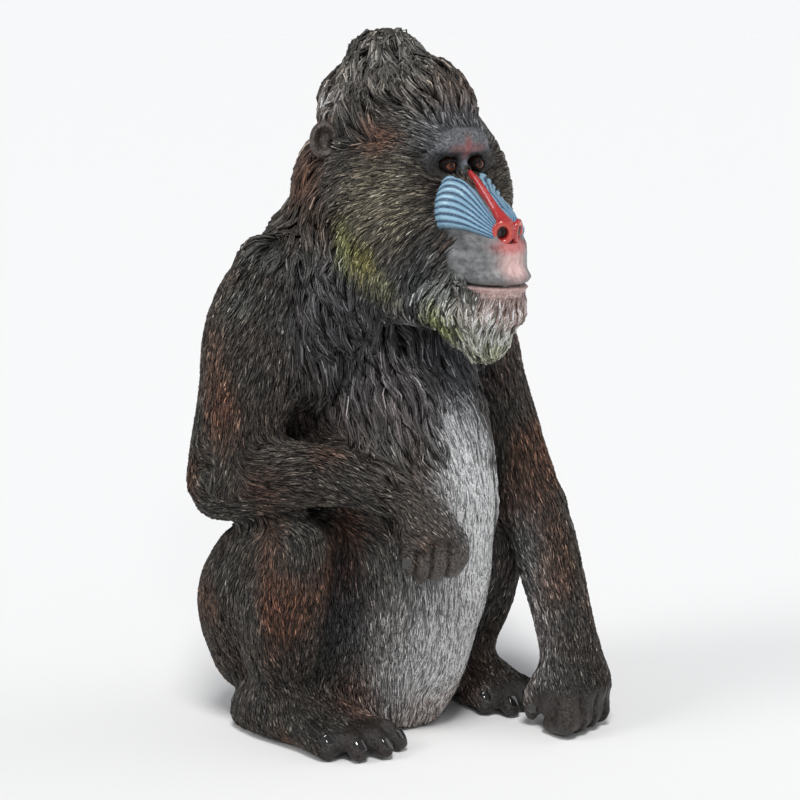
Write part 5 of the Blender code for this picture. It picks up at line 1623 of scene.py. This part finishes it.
def joined_piece(name, groups):
    """Makes one object of several sets of strands."""
    verts, faces, paint, patch, first = [], [], [], [], 0
    for which, sections in groups:
        v, f, c, u = strand_mesh(which, sections)
        verts.append(v)
        faces.append(f + first)
        paint.append(c)
        patch.append(u)
        first += len(v)
    verts, faces, paint, patch = (np.concatenate(a) for a in (verts, faces, paint, patch))
    mesh = bpy.data.meshes.new(name)
    mesh.vertices.add(len(verts))
    mesh.vertices.foreach_set("co", verts.ravel())
    mesh.loops.add(faces.size)
    mesh.loops.foreach_set("vertex_index", faces.ravel())
    mesh.polygons.add(len(faces))
    mesh.polygons.foreach_set("loop_start", np.arange(0, faces.size, 3))
    mesh.polygons.foreach_set("use_smooth", np.ones(len(faces), bool))
    mesh.update(calc_edges=True)
    kept = mesh.color_attributes.new("paint", "FLOAT_COLOR", "POINT")
    kept.data.foreach_set("color", paint.ravel())
    unwrap = mesh.uv_layers.new(name="OFBake")
    unwrap.data.foreach_set("uv", patch[faces.ravel()].ravel())
    made = bpy.data.objects.new(name, mesh)
    bpy.context.scene.collection.objects.link(made)
    return made


print("a strand's patch is", PATCH, "of the picture's width")

# %% [markdown]
# The strands carry their own colours.  A fine noise wears the light paint away here and there, and gives
# the strands a little relief.

# %% Coat paint
coat_paint, tree, shader = principled("moulded_fur_paint")
hairs = noise_at(tree, 520.0, 3.0, 0.6)
worn_away = spread_out(tree, hairs, 0.40, 0.68, 0.0, 0.60)
worn = blend_colours(tree, worn_away, colour_of(tree, "paint"), (0.0, 0.0, 0.0, 1))
tree.links.new(worn, shader.inputs["Base Color"])
tree.links.new(spread_out(tree, hairs, 0.30, 0.70, 0.22, 0.42), shader.inputs["Roughness"])
shader.inputs["Specular IOR Level"].default_value = SATIN
raise_by(tree, shader, hairs, 0.0010, 0.7)
print("coat paint made")

# %% [markdown]
# The strands are joined by region.  A region with too many triangles for one piece is cut into pieces by
# height.

# %% Part the coat into pieces
PIECES = {
    "coat_crest": ("crest", "temple"),
    "coat_cheeks": ("cheek", "ruff", "beard"),
    "coat_mantle": ("mantle",),
    "coat_back": ("back",),
    "coat_front": ("chest", "belly"),
    "coat_arms": ("arm", "hand"),
    "coat_legs": ("leg",),
}
MOST_TRIANGLES = 190000


def triangles_of(sections):
    """How many triangles a strand of these sections has."""
    return 6 * (len(sections) - 2) + 4


is_long = np.isin(root_styles, [style_names.index(s) for s in LONG_STYLES])
cost = np.where(is_long, triangles_of(LONG_STRAND), triangles_of(SHORT_STRAND))
coat = []
for name, members in PIECES.items():
    mine = np.nonzero(np.isin(root_styles, [style_names.index(m) for m in members]))[0]
    mine = mine[np.argsort(roots[mine, 2], kind="stable")]
    share = math.ceil(cost[mine].sum() / MOST_TRIANGLES)
    cuts = np.searchsorted(np.cumsum(cost[mine]), cost[mine].sum() * np.arange(1, share) / share)
    for number, group in enumerate(np.split(mine, cuts)):
        sets = [(group[is_long[group]], LONG_STRAND), (group[~is_long[group]], SHORT_STRAND)]
        piece = joined_piece(name if share == 1 else f"{name}_{number + 1}", [s for s in sets if len(s[0])])
        piece.data.materials.append(coat_paint)
        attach(piece, "root")
        coat.append(piece)
print("coat pieces", {o.name: len(o.data.polygons) for o in coat})
print("coat triangles", sum(len(o.data.polygons) for o in coat))

# %% [markdown]
# ## Size
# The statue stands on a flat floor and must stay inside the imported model's box.  The few strand and nail
# points that reach past it are pressed flat against its sides, as the foot of a casting is ground flat.

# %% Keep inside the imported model's box
INSET = 0.0004
low_side, high_side = np.array(cad_low) + INSET, np.array(cad_high) - INSET
pressed = 0
for piece in (skin, nails, *coat):
    spots = points_of(piece)
    held = np.clip(spots, low_side, high_side)
    pressed += int((np.abs(held - spots).max(1) > 0).sum())
    put_points(piece, held)
print("points pressed back", pressed)

# %% [markdown]
# The imported model's box is printed.

# %% Print the imported model's box
print("cad", [round(1000 * v, 1) for v in (*cad_low, *cad_high)])
